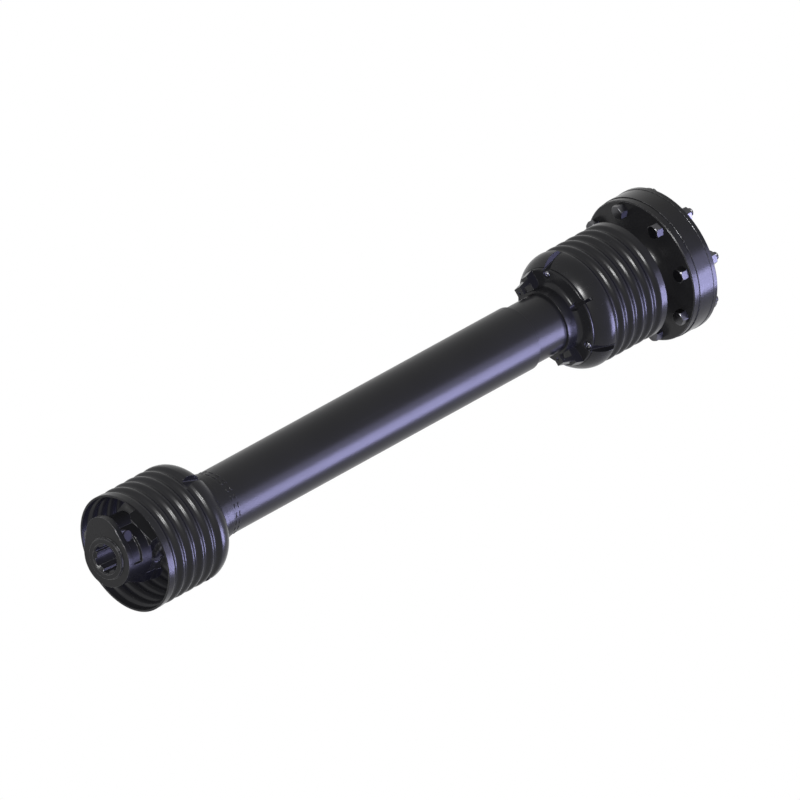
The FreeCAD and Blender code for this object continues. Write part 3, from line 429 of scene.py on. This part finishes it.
class ShaftSizes(bpy.types.PropertyGroup):
    """Sizes of the bolts, the channels, the latches and the marks."""
    bolt_count: bpy.props.IntProperty(
        name="Clutch Bolts", description="Bolts round the clutch", min=3, max=16, default=8)
    head_flats: bpy.props.FloatProperty(
        name="Head Across Flats", description="Width of a bolt head across its flats",
        subtype="DISTANCE", default=0.016)
    head_height: bpy.props.FloatProperty(
        name="Head Height", description="Height of a bolt head", subtype="DISTANCE", default=0.0105)
    shank_radius: bpy.props.FloatProperty(
        name="Shank Radius", description="Radius of a clutch bolt", subtype="DISTANCE", default=0.005)
    thread_pitch: bpy.props.FloatProperty(
        name="Thread Pitch", description="Distance between threads", subtype="DISTANCE", default=0.0015)
    channel_width: bpy.props.FloatProperty(
        name="Channel Width", description="Width of a screw channel", subtype="DISTANCE", default=0.0104)
    channel_wall: bpy.props.FloatProperty(
        name="Channel Wall", description="Wall round a screw channel", subtype="DISTANCE", default=0.002)
    latch_width: bpy.props.FloatProperty(
        name="Latch Width", description="Width of a latch slot", subtype="DISTANCE", default=0.0036)
    latch_depth: bpy.props.FloatProperty(
        name="Latch Depth", description="Depth of a latch slot in the collar", subtype="DISTANCE",
        default=0.0028)
    latch_reach: bpy.props.FloatProperty(
        name="Latch Reach", description="How far a latch slot runs up the dome", subtype="DISTANCE",
        default=0.007)
    mark_count: bpy.props.IntProperty(
        name="Tube Marks", description="Marks round the guard tube at each ring", min=1, max=60, default=23)


class ShaftStudio(bpy.types.PropertyGroup):
    """Camera and light."""
    lens: bpy.props.FloatProperty(
        name="Lens", description="Focal length in millimetres", min=50, max=1700, default=1600)
    view_width: bpy.props.FloatProperty(
        name="View Width", description="Width of the picture at the shaft", subtype="DISTANCE",
        default=0.928)
    azimuth: bpy.props.FloatProperty(
        name="Azimuth", description="Camera's turn about Z", subtype="ANGLE", default=math.radians(-45))
    elevation: bpy.props.FloatProperty(
        name="Elevation", description="Camera's height angle", subtype="ANGLE", default=math.radians(33.3))
    key_power: bpy.props.FloatProperty(
        name="Key Light", description="Power of the white lamp on the left in watts", min=0, default=360.0)
    side_power: bpy.props.FloatProperty(
        name="Side Light", description="Power of the lilac lamp low on the right in watts", min=0,
        default=165.0)
    fill_level: bpy.props.FloatProperty(
        name="Fill", description="Strength of the even surrounding light", min=0, default=0.25)


# Modelling

def clear_selection():
    """Go to object mode and select nothing."""
    if bpy.context.object and bpy.context.object.mode != "OBJECT":
        bpy.ops.object.mode_set(mode="OBJECT")
    bpy.ops.object.select_all(action="DESELECT")


def only(obj):
    """Select one object alone, in object mode."""
    clear_selection()
    obj.select_set(True)
    bpy.context.view_layer.objects.active = obj


def settle():
    """Put the selected object's place into its mesh."""
    bpy.ops.object.transform_apply(location=True, rotation=True, scale=True)


def modified(obj, kind, **settings):
    """Add a modifier and apply it."""
    only(obj)
    modifier = obj.modifiers.new(kind.title(), kind)
    for key, value in settings.items():
        setattr(modifier, key, value)
    bpy.ops.object.modifier_apply(modifier=modifier.name)


def cut(piece, cutter, operation="DIFFERENCE"):
    """Cut a piece by another, or join or cross the two. The cutter goes."""
    modified(piece, "BOOLEAN", operation=operation, object=cutter, solver="EXACT")
    bpy.data.objects.remove(cutter)


def drawn_line(name, points):
    """New piece with one open line through the points, left selected in edit mode."""
    clear_selection()
    bpy.ops.mesh.primitive_plane_add(size=0.001, location=(0, 0, 0))
    piece = bpy.context.object
    piece.name = name
    bpy.ops.object.mode_set(mode="EDIT")
    bpy.ops.mesh.merge(type="CENTER")
    bpy.ops.transform.translate(value=points[0])
    for before, after in zip(points, points[1:]):
        step = tuple(new - old for old, new in zip(before, after))
        bpy.ops.mesh.extrude_region_move(TRANSFORM_OT_translate={"value": step})
    bpy.ops.mesh.select_all(action="SELECT")
    return piece


def closed(piece):
    """End the edit of a closed piece, with its doubles merged and its faces outwards."""
    bpy.ops.mesh.select_all(action="SELECT")
    bpy.ops.mesh.remove_doubles(threshold=MERGE)
    bpy.ops.mesh.normals_make_consistent(inside=False)
    bpy.ops.object.mode_set(mode="OBJECT")
    settle()
    return piece


def lathe(name, profile, steps):
    """Turn a profile of (x, radius) points about the X axis into a closed piece."""
    piece = drawn_line(name, [(x, 0, radius) for x, radius in profile])
    bpy.ops.mesh.spin(steps=steps, angle=2 * math.pi, center=(0, 0, 0), axis=(1, 0, 0))
    return closed(piece)


def prism(name, outline, width):
    """Straight block: an outline of (x, radius) points, as wide as given on both sides of the XY plane."""
    piece = drawn_line(name, [(x, radius, -width / 2) for x, radius in outline])
    bpy.ops.mesh.edge_face_add()
    bpy.ops.mesh.extrude_region_move(TRANSFORM_OT_translate={"value": (0, 0, width)})
    return closed(piece)


def hexagon_block(name, flats, start, end, chamfer):
    """Hexagonal block along X between two stations, with its end rounded off by a cone."""
    corner = flats / math.sqrt(3)
    clear_selection()
    bpy.ops.mesh.primitive_cylinder_add(vertices=6, radius=corner, depth=abs(end - start),
                                        location=((start + end) / 2, 0, 0), rotation=(0, math.pi / 2, 0))
    piece = bpy.context.object
    piece.name = name
    settle()
    piece.matrix_world = Matrix.Rotation(math.radians(30), 4, "X")
    settle()
    way = 1 if end > start else -1
    back = start - way * PAST
    cone = lathe("chamfer_cone", [(back, 0), (back, corner * CONE_BEHIND),
                                  (end - way * chamfer, corner * CONE_SHOULDER),
                                  (end, flats / 2 * CONE_END), (end, 0)], FINE_STEPS)
    cut(piece, cone, "INTERSECT")
    return piece


def copied(piece, name, place):
    """Copy of a piece with its own mesh, moved by a matrix."""
    only(piece)
    bpy.ops.object.duplicate()
    copy = bpy.context.object
    copy.name = name
    copy.matrix_world = place
    settle()
    return copy


def joined(name, pieces):
    """The pieces as one, under a name."""
    only(pieces[0])
    for piece in pieces[1:]:
        piece.select_set(True)
    bpy.ops.object.join()
    pieces[0].name = name
    return pieces[0]


def ring_of(name, piece, places):
    """Copies of a piece at some places, as one mesh. The piece itself goes."""
    copies = [copied(piece, name, place) for place in places]
    bpy.data.objects.remove(piece)
    return joined(name, copies)


def recast(node, name):
    """Closed copy of a carried-over solid, to be worked on."""
    only(NODES[node])
    bpy.ops.object.duplicate()
    copy = bpy.context.object
    copy.name = name
    for key in list(copy.keys()):
        del copy[key]
    bpy.ops.object.parent_clear(type="CLEAR_KEEP_TRANSFORM")
    bpy.ops.mesh.customdata_custom_splitnormals_clear()
    bpy.ops.object.mode_set(mode="EDIT")
    bpy.ops.mesh.select_all(action="SELECT")
    bpy.ops.mesh.remove_doubles(threshold=MERGE)
    bpy.ops.object.mode_set(mode="OBJECT")
    settle()
    return copy


def turns(count, first=0.0):
    """Angles of pieces that are spaced evenly round the shaft."""
    return [first + index * 2 * math.pi / count for index in range(count)]


def round_shaft(station, radius, angle):
    """Place of a piece drawn about the X axis at the origin, moved out to a radius and turned to an angle."""
    turn = Matrix.Rotation(angle, 4, "X")
    return Matrix.Translation((station, 0, 0)) @ turn @ Matrix.Translation((0, radius, 0))


def painted(obj, material, smooth):
    """Give an object one material and smooth shading below an angle."""
    only(obj)
    obj.data.materials.clear()
    obj.data.materials.append(material)
    bpy.ops.object.shade_smooth_by_angle(angle=smooth)


def repaint(material, *names):
    """Give carried-over solids their material and smooth shading."""
    for name in names:
        painted(NODES[name], material, SOLID_SMOOTH)


def finished(piece, material, body, smooth=PIECE_SMOOTH):
    """Give a new piece its material, smooth shading and body."""
    painted(piece, material, smooth)
    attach(piece, body)


# Operators

class SHAFT_OT_guard_plastic(bpy.types.Operator):
    """Finish the moulded shields and collars, the extruded guard tubes and the nylon bearing rings"""
    bl_idname = "shaft.guard_plastic"
    bl_label = "Guard Plastic"

    def execute(self, context):
        f = context.scene.shaft_finishes
        repaint(moulded_plastic("guard_plastic", f.plastic_colour, f.plastic_roughness, 0.3),
                "near_shield", "far_shield", "near_guard_collar", "far_guard_collar")
        repaint(extruded_plastic("guard_tube_plastic", f.plastic_colour, f.tube_roughness),
                "outer_guard_tube", "inner_guard_tube")
        repaint(moulded_plastic("bearing_nylon", NYLON, 0.4, 0.2), "near_bearing_ring", "far_bearing_ring")
        return {"FINISHED"}


class SHAFT_OT_painted_steel(bpy.types.Operator):
    """Finish the yokes, the clutch plates and the hub in black paint"""
    bl_idname = "shaft.painted_steel"
    bl_label = "Painted Steel"

    def execute(self, context):
        f = context.scene.shaft_finishes
        repaint(painted_forging("forging_paint", f.paint_colour, f.paint_roughness, 0.5),
                "near_yoke", "near_tube_yoke", "far_tube_yoke", "flange_yoke", "clutch_hub")
        repaint(painted_forging("clutch_paint", f.paint_colour, f.paint_roughness - 0.04, 0.12),
                "clutch_housing", "clutch_back_plate", "pressure_plate")
        return {"FINISHED"}


class SHAFT_OT_bare_steel(bpy.types.Operator):
    """Finish the drive tubes, crosses, caps, clips, pins, springs, seals and linings"""
    bl_idname = "shaft.bare_steel"
    bl_label = "Bare Steel"

    def execute(self, context):
        steel = context.scene.shaft_finishes.steel_colour
        repaint(bright_steel("drawn_steel", steel, 0.34, 60.0), "outer_profile_tube", "inner_profile_tube")
        repaint(bright_steel("ground_steel", steel, 0.26), "near_cross", "far_cross", "near_tube_caps",
                "near_yoke_caps", "far_tube_caps", "flange_yoke_caps")
        repaint(bright_steel("spring_steel", SPRING_STEEL, 0.32), "near_tube_circlips",
                "near_yoke_circlips", "far_tube_circlips", "flange_yoke_circlips", "near_tube_pin",
                "far_tube_pin", "push_pin_spring", "disc_spring")
        repaint(bright_steel("black_oxide", BLACK_OXIDE, 0.34), "push_pin", "clutch_washers",
                "hub_clamp_bolt", "hub_clamp_nut")
        repaint(bright_steel("dull_oxide", DULL_OXIDE, 0.55), "push_pin_cap")
        repaint(bright_steel("brass", BRASS, 0.3), "near_grease_nipple", "far_grease_nipple", "clutch_bush")
        repaint(rubber("seal_rubber", SEAL_RUBBER), "near_cross_seals", "far_cross_seals")
        repaint(friction_lining("lining", LINING), "front_lining", "rear_lining")
        return {"FINISHED"}


class SHAFT_OT_pin_spring(bpy.types.Operator):
    """Put a copy of the push pin's coil spring, in its own finish, on the near yoke in place of the
    carried-over spring
    """
    bl_idname = "shaft.pin_spring"
    bl_label = "Pin Spring"

    def execute(self, context):
        press = next(joint for joint in frame["joints"] if joint["name"] == "push_pin_press")
        axis = Vector(press["axis"]).normalized()
        coil = recast("push_pin_spring", "push_pin_coil")
        reach = [axis.dot(vertex.co) for vertex in coil.data.vertices]
        length = max(reach) - min(reach)
        finished(coil, NODES["push_pin_spring"].data.materials[0], "near_yoke")
        (length - press["range_m"][1]) / length
        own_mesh(coil)
        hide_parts("push_pin_spring")
        return {"FINISHED"}


class SHAFT_OT_clutch_bolts(bpy.types.Operator):
    """Build the clutch bolts and nuts with chamfered hexagons and threaded ends"""
    bl_idname = "shaft.clutch_bolts"
    bl_label = "Clutch Bolts"

    def bolt(self, s, nut_start):
        """One bolt about the X axis, with its head's face at the origin."""
        shank, ring = s.shank_radius, s.head_flats / 2 * FACE_RING_SHARE
        washer_face = lathe("washer_face", [(0, shank), (-FACE_RING, shank), (-FACE_RING, ring), (0, ring),
                                            (0, shank)], FINE_STEPS)
        head = hexagon_block("head", s.head_flats, -FACE_RING, -s.head_height, HEAD_CHAMFER)
        station = nut_start - THREAD_LEAD
        profile = [(-PAST, 0), (-PAST, shank), (station, shank)]
        while station < BOLT_TIP - 2 * s.thread_pitch:
            profile += [(station + s.thread_pitch / 2, shank - THREAD_DEPTH),
                        (station + s.thread_pitch, shank)]
            station += s.thread_pitch
        profile += [(BOLT_TIP - TIP_LENGTH, shank - TIP_TOP_DROP), (BOLT_TIP, shank - TIP_DROP),
                    (BOLT_TIP, 0)]
        return joined("clutch_bolt", [lathe("shank", profile, ROUND_STEPS), head, washer_face])

    def nut(self, s, start):
        """One nut about the X axis, with its bore opened out at its far end."""
        end = start + NUT_HEIGHT
        clear, mouth = s.shank_radius + NUT_CLEARANCE, s.shank_radius + NUT_MOUTH
        nut = hexagon_block("clutch_nut", s.head_flats, start, end, NUT_CHAMFER)
        cut(nut, lathe("nut_bore", [(start - PAST, 0), (start - PAST, clear), (end - PAST, clear),
                                    (end + PAST, mouth), (end + PAST, 0)], FINE_STEPS))
        return nut

    def execute(self, context):
        s = context.scene.shaft_sizes
        material = bright_steel("bolt_oxide", BOLT_OXIDE, 0.3)
        nut_start = PLATE_BACK + WASHER - FLANGE_FACE
        bolt, nut = self.bolt(s, nut_start), self.nut(s, nut_start)
        for piece, node in ((bolt, "clutch_bolts"), (nut, "clutch_nuts")):
            for index, angle in enumerate(turns(s.bolt_count, BOLT_PHASE), 1):
                copy = copied(piece, f"{node}_{index}", round_shaft(FLANGE_FACE, BOLT_CIRCLE, angle))
                finished(copy, material, "clutch_yoke")
                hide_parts(node)
            bpy.data.objects.remove(piece)
        return {"FINISHED"}


class SHAFT_OT_guard_screws(bpy.types.Operator):
    """Build the pan-head screws that hold the shields to their collars"""
    bl_idname = "shaft.guard_screws"
    bl_label = "Guard Screws"

    def screw(self):
        """One screw about the X axis, with the underside of its head at the origin and a cross slot."""
        tip, radius, head, height = -SCREW_LENGTH, SCREW_RADIUS, SCREW_HEAD_RADIUS, SCREW_HEAD_HEIGHT
        piece = lathe("screw", [(tip, 0), (tip, radius * 0.7), (tip + SCREW_POINT, radius), (0, radius),
                                (0, head * 0.97), (SCREW_HEAD_EDGE, head), (height * 0.5, head),
                                (height * 0.8, head * 0.86), (height, head * 0.55), (height, 0)],
                      ROUND_STEPS)
        for turn in (0, math.pi / 2):
            clear_selection()
            bpy.ops.mesh.primitive_cube_add(size=1, location=(height, 0, 0), rotation=(turn, 0, 0),
                                            scale=CROSS_SLOT)
            slot = bpy.context.object
            settle()
            cut(piece, slot)
        return piece

    def execute(self, context):
        material = bright_steel("screw_oxide", SCREW_OXIDE, 0.32)
        screw = self.screw()
        for end in GUARD_ENDS:
            node = f"{end.name}_guard_screws"
            for index, angle in enumerate(turns(ROUND_EACH_SHIELD, SCREW_ANGLE), 1):
                place = end.mouth @ round_shaft(COLLAR_FACE - SEAT_DEPTH, end.screw_circle, angle)
                copy = copied(screw, f"{node}_{index}", place)
                finished(copy, material, end.body)
                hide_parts(node)
        bpy.data.objects.remove(screw)
        return {"FINISHED"}


def channel_wall(end, s, floor, slope):
    """Block that carries a screw channel's floor and sides under the dome."""
    drop = CREST_RADIUS - end.shoulder
    dome = (DOME_LENGTH ** 2 + drop ** 2) / (2 * drop)
    last = SHIELD_LENGTH - SHIELD_WALL
    stations = [DOME_START + (last - DOME_START) * k / 6 for k in range(7)]
    roof = [(x, CREST_RADIUS - dome + math.sqrt((dome - SHIELD_WALL / 2) ** 2 - (x - DOME_START) ** 2))
            for x in stations]
    under = [(last, floor + slope * SHIELD_WALL - s.channel_wall),
             (VALLEY_STATION, VALLEY_RADIUS - s.channel_wall),
             (VALLEY_STATION, VALLEY_RADIUS - SHIELD_WALL / 2)]
    return prism("channel_wall", roof + under, s.channel_width + 2 * s.channel_wall)


def slot_cutter(name, start, floor, last_floor, width):
    """Cutter from a station out past the collar's face, whose floor runs from one radius to another."""
    last = COLLAR_FACE + PAST
    return prism(name, [(start, floor), (start, OUTSIDE), (last, OUTSIDE), (last, last_floor)], width)


def round_cutter(name, depth, radius, reach):
    """Round cutter about the X axis, from a depth in the collar's face to a reach before it."""
    low, high = COLLAR_FACE - depth, COLLAR_FACE + reach
    return lathe(name, [(low, 0), (low, radius), (high, radius), (high, 0)], ROUND_STEPS)


def moved_out(places, radius):
    """Places round the shaft, for what is drawn about the X axis and sits at a radius."""
    return [place @ Matrix.Translation((0, radius, 0)) for place in places]


class SHAFT_OT_shield_channels(bpy.types.Operator):
    """Cut the screw channels, the screw seats and the latch slots into the shields and their collars"""
    bl_idname = "shaft.shield_channels"
    bl_label = "Shield Channels"

    def execute(self, context):
        s = context.scene.shaft_sizes
        for end in GUARD_ENDS:
            screws, latches = ([end.mouth @ Matrix.Rotation(angle, 4, "X")
                                for angle in turns(ROUND_EACH_SHIELD, first)]
                               for first in (SCREW_ANGLE, LATCH_ANGLE))
            floor = end.screw_circle + CHANNEL_FLOOR
            slope = (VALLEY_RADIUS - floor) / (SHIELD_LENGTH - VALLEY_STATION)
            room = slot_cutter("channel_room", VALLEY_STATION, VALLEY_RADIUS,
                               floor - slope * (COLLAR_FACE + PAST - SHIELD_LENGTH), s.channel_width)
            modified(room, "BEVEL", width=CHANNEL_ROUNDING, segments=3)
            rooms = ring_of("rooms", room, screws)
            collar_rooms = copied(rooms, "collar_rooms", Matrix.Identity(4))

            shield = recast(f"{end.name}_shield", f"{end.name}_shield_moulding")
            cut(shield, ring_of("walls", channel_wall(end, s, floor, slope), screws), "UNION")
            cut(shield, rooms)
            gap = slot_cutter("latch_gap", SHIELD_LENGTH - s.latch_reach, floor, floor, s.latch_width)
            cut(shield, ring_of("gaps", gap, latches))

            collar = recast(f"{end.name}_guard_collar", f"{end.name}_collar_moulding")
            cut(collar, collar_rooms)
            slot = slot_cutter("latch_slot", COLLAR_FACE - s.latch_depth, end.neck, end.neck, s.latch_width)
            cut(collar, ring_of("slots", slot, latches))
            key = round_cutter("key_seat", s.latch_depth, KEY_RADIUS, KEY_REACH)
            cut(collar, ring_of("keys", key, moved_out(latches, end.neck - KEY_DROP)))
            seat = round_cutter("screw_seat", SEAT_DEPTH, SEAT_RADIUS, SEAT_REACH)
            cut(collar, ring_of("seats", seat, moved_out(screws, end.screw_circle)))

            material = NODES[f"{end.name}_shield"].data.materials[0]
            for piece, node in ((shield, f"{end.name}_shield"), (collar, f"{end.name}_guard_collar")):
                finished(piece, material, end.body, SOLID_SMOOTH)
                modified(piece, "WEIGHTED_NORMAL", keep_sharp=True)
                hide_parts(node)
        return {"FINISHED"}


class SHAFT_OT_tube_marks(bpy.types.Operator):
    """Raise the two rings of short marks on the outer guard tube beside its collar"""
    bl_idname = "shaft.tube_marks"
    bl_label = "Tube Marks"

    def execute(self, context):
        s = context.scene.shaft_sizes
        clear_selection()
        bpy.ops.mesh.primitive_cube_add(size=1, location=(0, 0, 0), scale=MARK_SIZE)
        mark = bpy.context.object
        settle()
        modified(mark, "BEVEL", width=MARK_ROUNDING, segments=2)
        ring = ring_of("tube_marks", mark, [round_shaft(NEAR_CROSS + station, MARK_RADIUS, angle)
                                            for station in MARK_STATIONS for angle in turns(s.mark_count)])
        finished(ring, NODES["outer_guard_tube"].data.materials[0], "outer_guard")
        return {"FINISHED"}


def lamp(name, distance, way, size, power, colour):
    """Shadowless area lamp at a distance from the shaft's middle, facing it."""
    data = bpy.data.lights.new(name, "AREA")
    data.shape = "RECTANGLE"
    data.size, data.size_y = size
    data.energy = power
    data.color = colour
    data.use_shadow = False
    light = bpy.data.objects.new(name, data)
    bpy.context.scene.collection.objects.link(light)
    light.location = CENTRE + distance * Vector(way)
    away = Vector(way).normalized()
    along = (Vector((1, 0, 0)) - away * away.x).normalized()
    light.rotation_euler = Matrix((along, away.cross(along), away)).transposed().to_euler()


class SHAFT_OT_studio(bpy.types.Operator):
    """Set the camera, the floor, the lamps and the world"""
    bl_idname = "shaft.studio"
    bl_label = "Studio"

    def set_camera(self, scene, s):
        """Long lens far off, turned and raised by the settings, that looks at the shaft's middle."""
        forward = Vector((-math.sin(s.azimuth) * math.cos(s.elevation),
                          math.cos(s.azimuth) * math.cos(s.elevation), -math.sin(s.elevation)))
        distance = s.view_width * s.lens / SENSOR
        data = bpy.data.cameras.new("camera")
        data.type = "PERSP"
        data.lens = s.lens
        data.sensor_width = SENSOR
        data.clip_start = distance / 50
        data.clip_end = distance * 3
        camera = bpy.data.objects.new("camera", data)
        scene.collection.objects.link(camera)
        camera.location = AIM - forward * distance
        camera.rotation_euler = forward.to_track_quat("-Z", "Y").to_euler()
        scene.camera = camera

    def set_floor(self):
        """Wide floor below the shaft: white in view, and a matt grey for the light that it gives back."""
        clear_selection()
        lowest = CAD_BOX[0][2]
        bpy.ops.mesh.primitive_plane_add(size=FLOOR_SIZE, location=(0, 0, lowest - FLOOR_DROP))
        floor = bpy.context.object
        floor.name = "floor"
        material = bpy.data.materials.new("floor_white")
        f = NodeWork(material)
        matt = f.node("ShaderNodeBsdfDiffuse", None, {"Color": FLOOR_GREY})
        white = f.node("ShaderNodeEmission", None, {"Color": WHITE, "Strength": 1.0})
        shown = f.node("ShaderNodeMixShader", None, {0: f.seen(), 1: matt, 2: white})
        f.end("ShaderNodeOutputMaterial", shown)
        floor.data.materials.append(material)

    def set_world(self, scene, s):
        """Even light from all sides before a white background."""
        scene.world = scene.world or bpy.data.worlds.new("world")
        w = NodeWork(scene.world)
        even = w.node("ShaderNodeBackground", None, {"Color": WHITE, "Strength": s.fill_level})
        plain = w.node("ShaderNodeBackground", None, {"Color": WHITE, "Strength": 1.0})
        mixed = w.node("ShaderNodeMixShader", None, {0: w.seen(), 1: even, 2: plain})
        w.end("ShaderNodeOutputWorld", mixed)

    def execute(self, context):
        s = context.scene.shaft_studio
        self.set_camera(context.scene, s)
        self.set_floor()
        lamp("key", 5.0, (-0.81, -0.20, 0.53), (0.9, 0.9), s.key_power, (1, 1, 1))
        lamp("side", 3.2, (0.59, -0.762, -0.262), (1.0, 1.5), s.side_power, (0.56, 0.55, 1.0))
        lamp("side_soft", 3.2, (0.59, -0.80, 0.10), (1.0, 1.6), s.side_power * SOFT_SHARE, (0.62, 0.61, 1.0))
        self.set_world(context.scene, s)
        context.scene.view_settings.view_transform = "Standard"
        return {"FINISHED"}


# Panel

class SHAFT_PT_pieces(bpy.types.Panel):
    """Lists the settings and the operators of the shaft."""
    bl_idname = "SHAFT_PT_pieces"
    bl_label = "Drive Shaft"
    bl_space_type = "VIEW_3D"
    bl_region_type = "UI"
    bl_category = "Drive Shaft"

    def draw(self, context):
        scene = context.scene
        for group in (scene.shaft_finishes, scene.shaft_sizes, scene.shaft_studio):
            box = self.layout.box()
            for name in group.__annotations__:
                box.prop(group, name)
        for operator in OPERATORS:
            self.layout.operator(operator.bl_idname)


OPERATORS = (SHAFT_OT_studio, SHAFT_OT_guard_plastic, SHAFT_OT_painted_steel, SHAFT_OT_bare_steel,
             SHAFT_OT_pin_spring, SHAFT_OT_clutch_bolts, SHAFT_OT_guard_screws, SHAFT_OT_shield_channels,
             SHAFT_OT_tube_marks)
CLASSES = (ShaftFinishes, ShaftSizes, ShaftStudio) + OPERATORS + (SHAFT_PT_pieces,)


def register():
    for item in CLASSES:
        bpy.utils.register_class(item)
    bpy.types.Scene.shaft_finishes = bpy.props.PointerProperty(type=ShaftFinishes)
    bpy.types.Scene.shaft_sizes = bpy.props.PointerProperty(type=ShaftSizes)
    bpy.types.Scene.shaft_studio = bpy.props.PointerProperty(type=ShaftStudio)


def unregister():
    del bpy.types.Scene.shaft_finishes
    del bpy.types.Scene.shaft_sizes
    del bpy.types.Scene.shaft_studio
    for item in reversed(CLASSES):
        bpy.utils.unregister_class(item)


def main():
    register()
    bpy.ops.shaft.studio()
    bpy.ops.shaft.guard_plastic()
    bpy.ops.shaft.painted_steel()
    bpy.ops.shaft.bare_steel()
    bpy.ops.shaft.pin_spring()
    bpy.ops.shaft.clutch_bolts()
    bpy.ops.shaft.guard_screws()
    bpy.ops.shaft.shield_channels()
    bpy.ops.shaft.tube_marks()


if __name__ == "__main__":
    main()
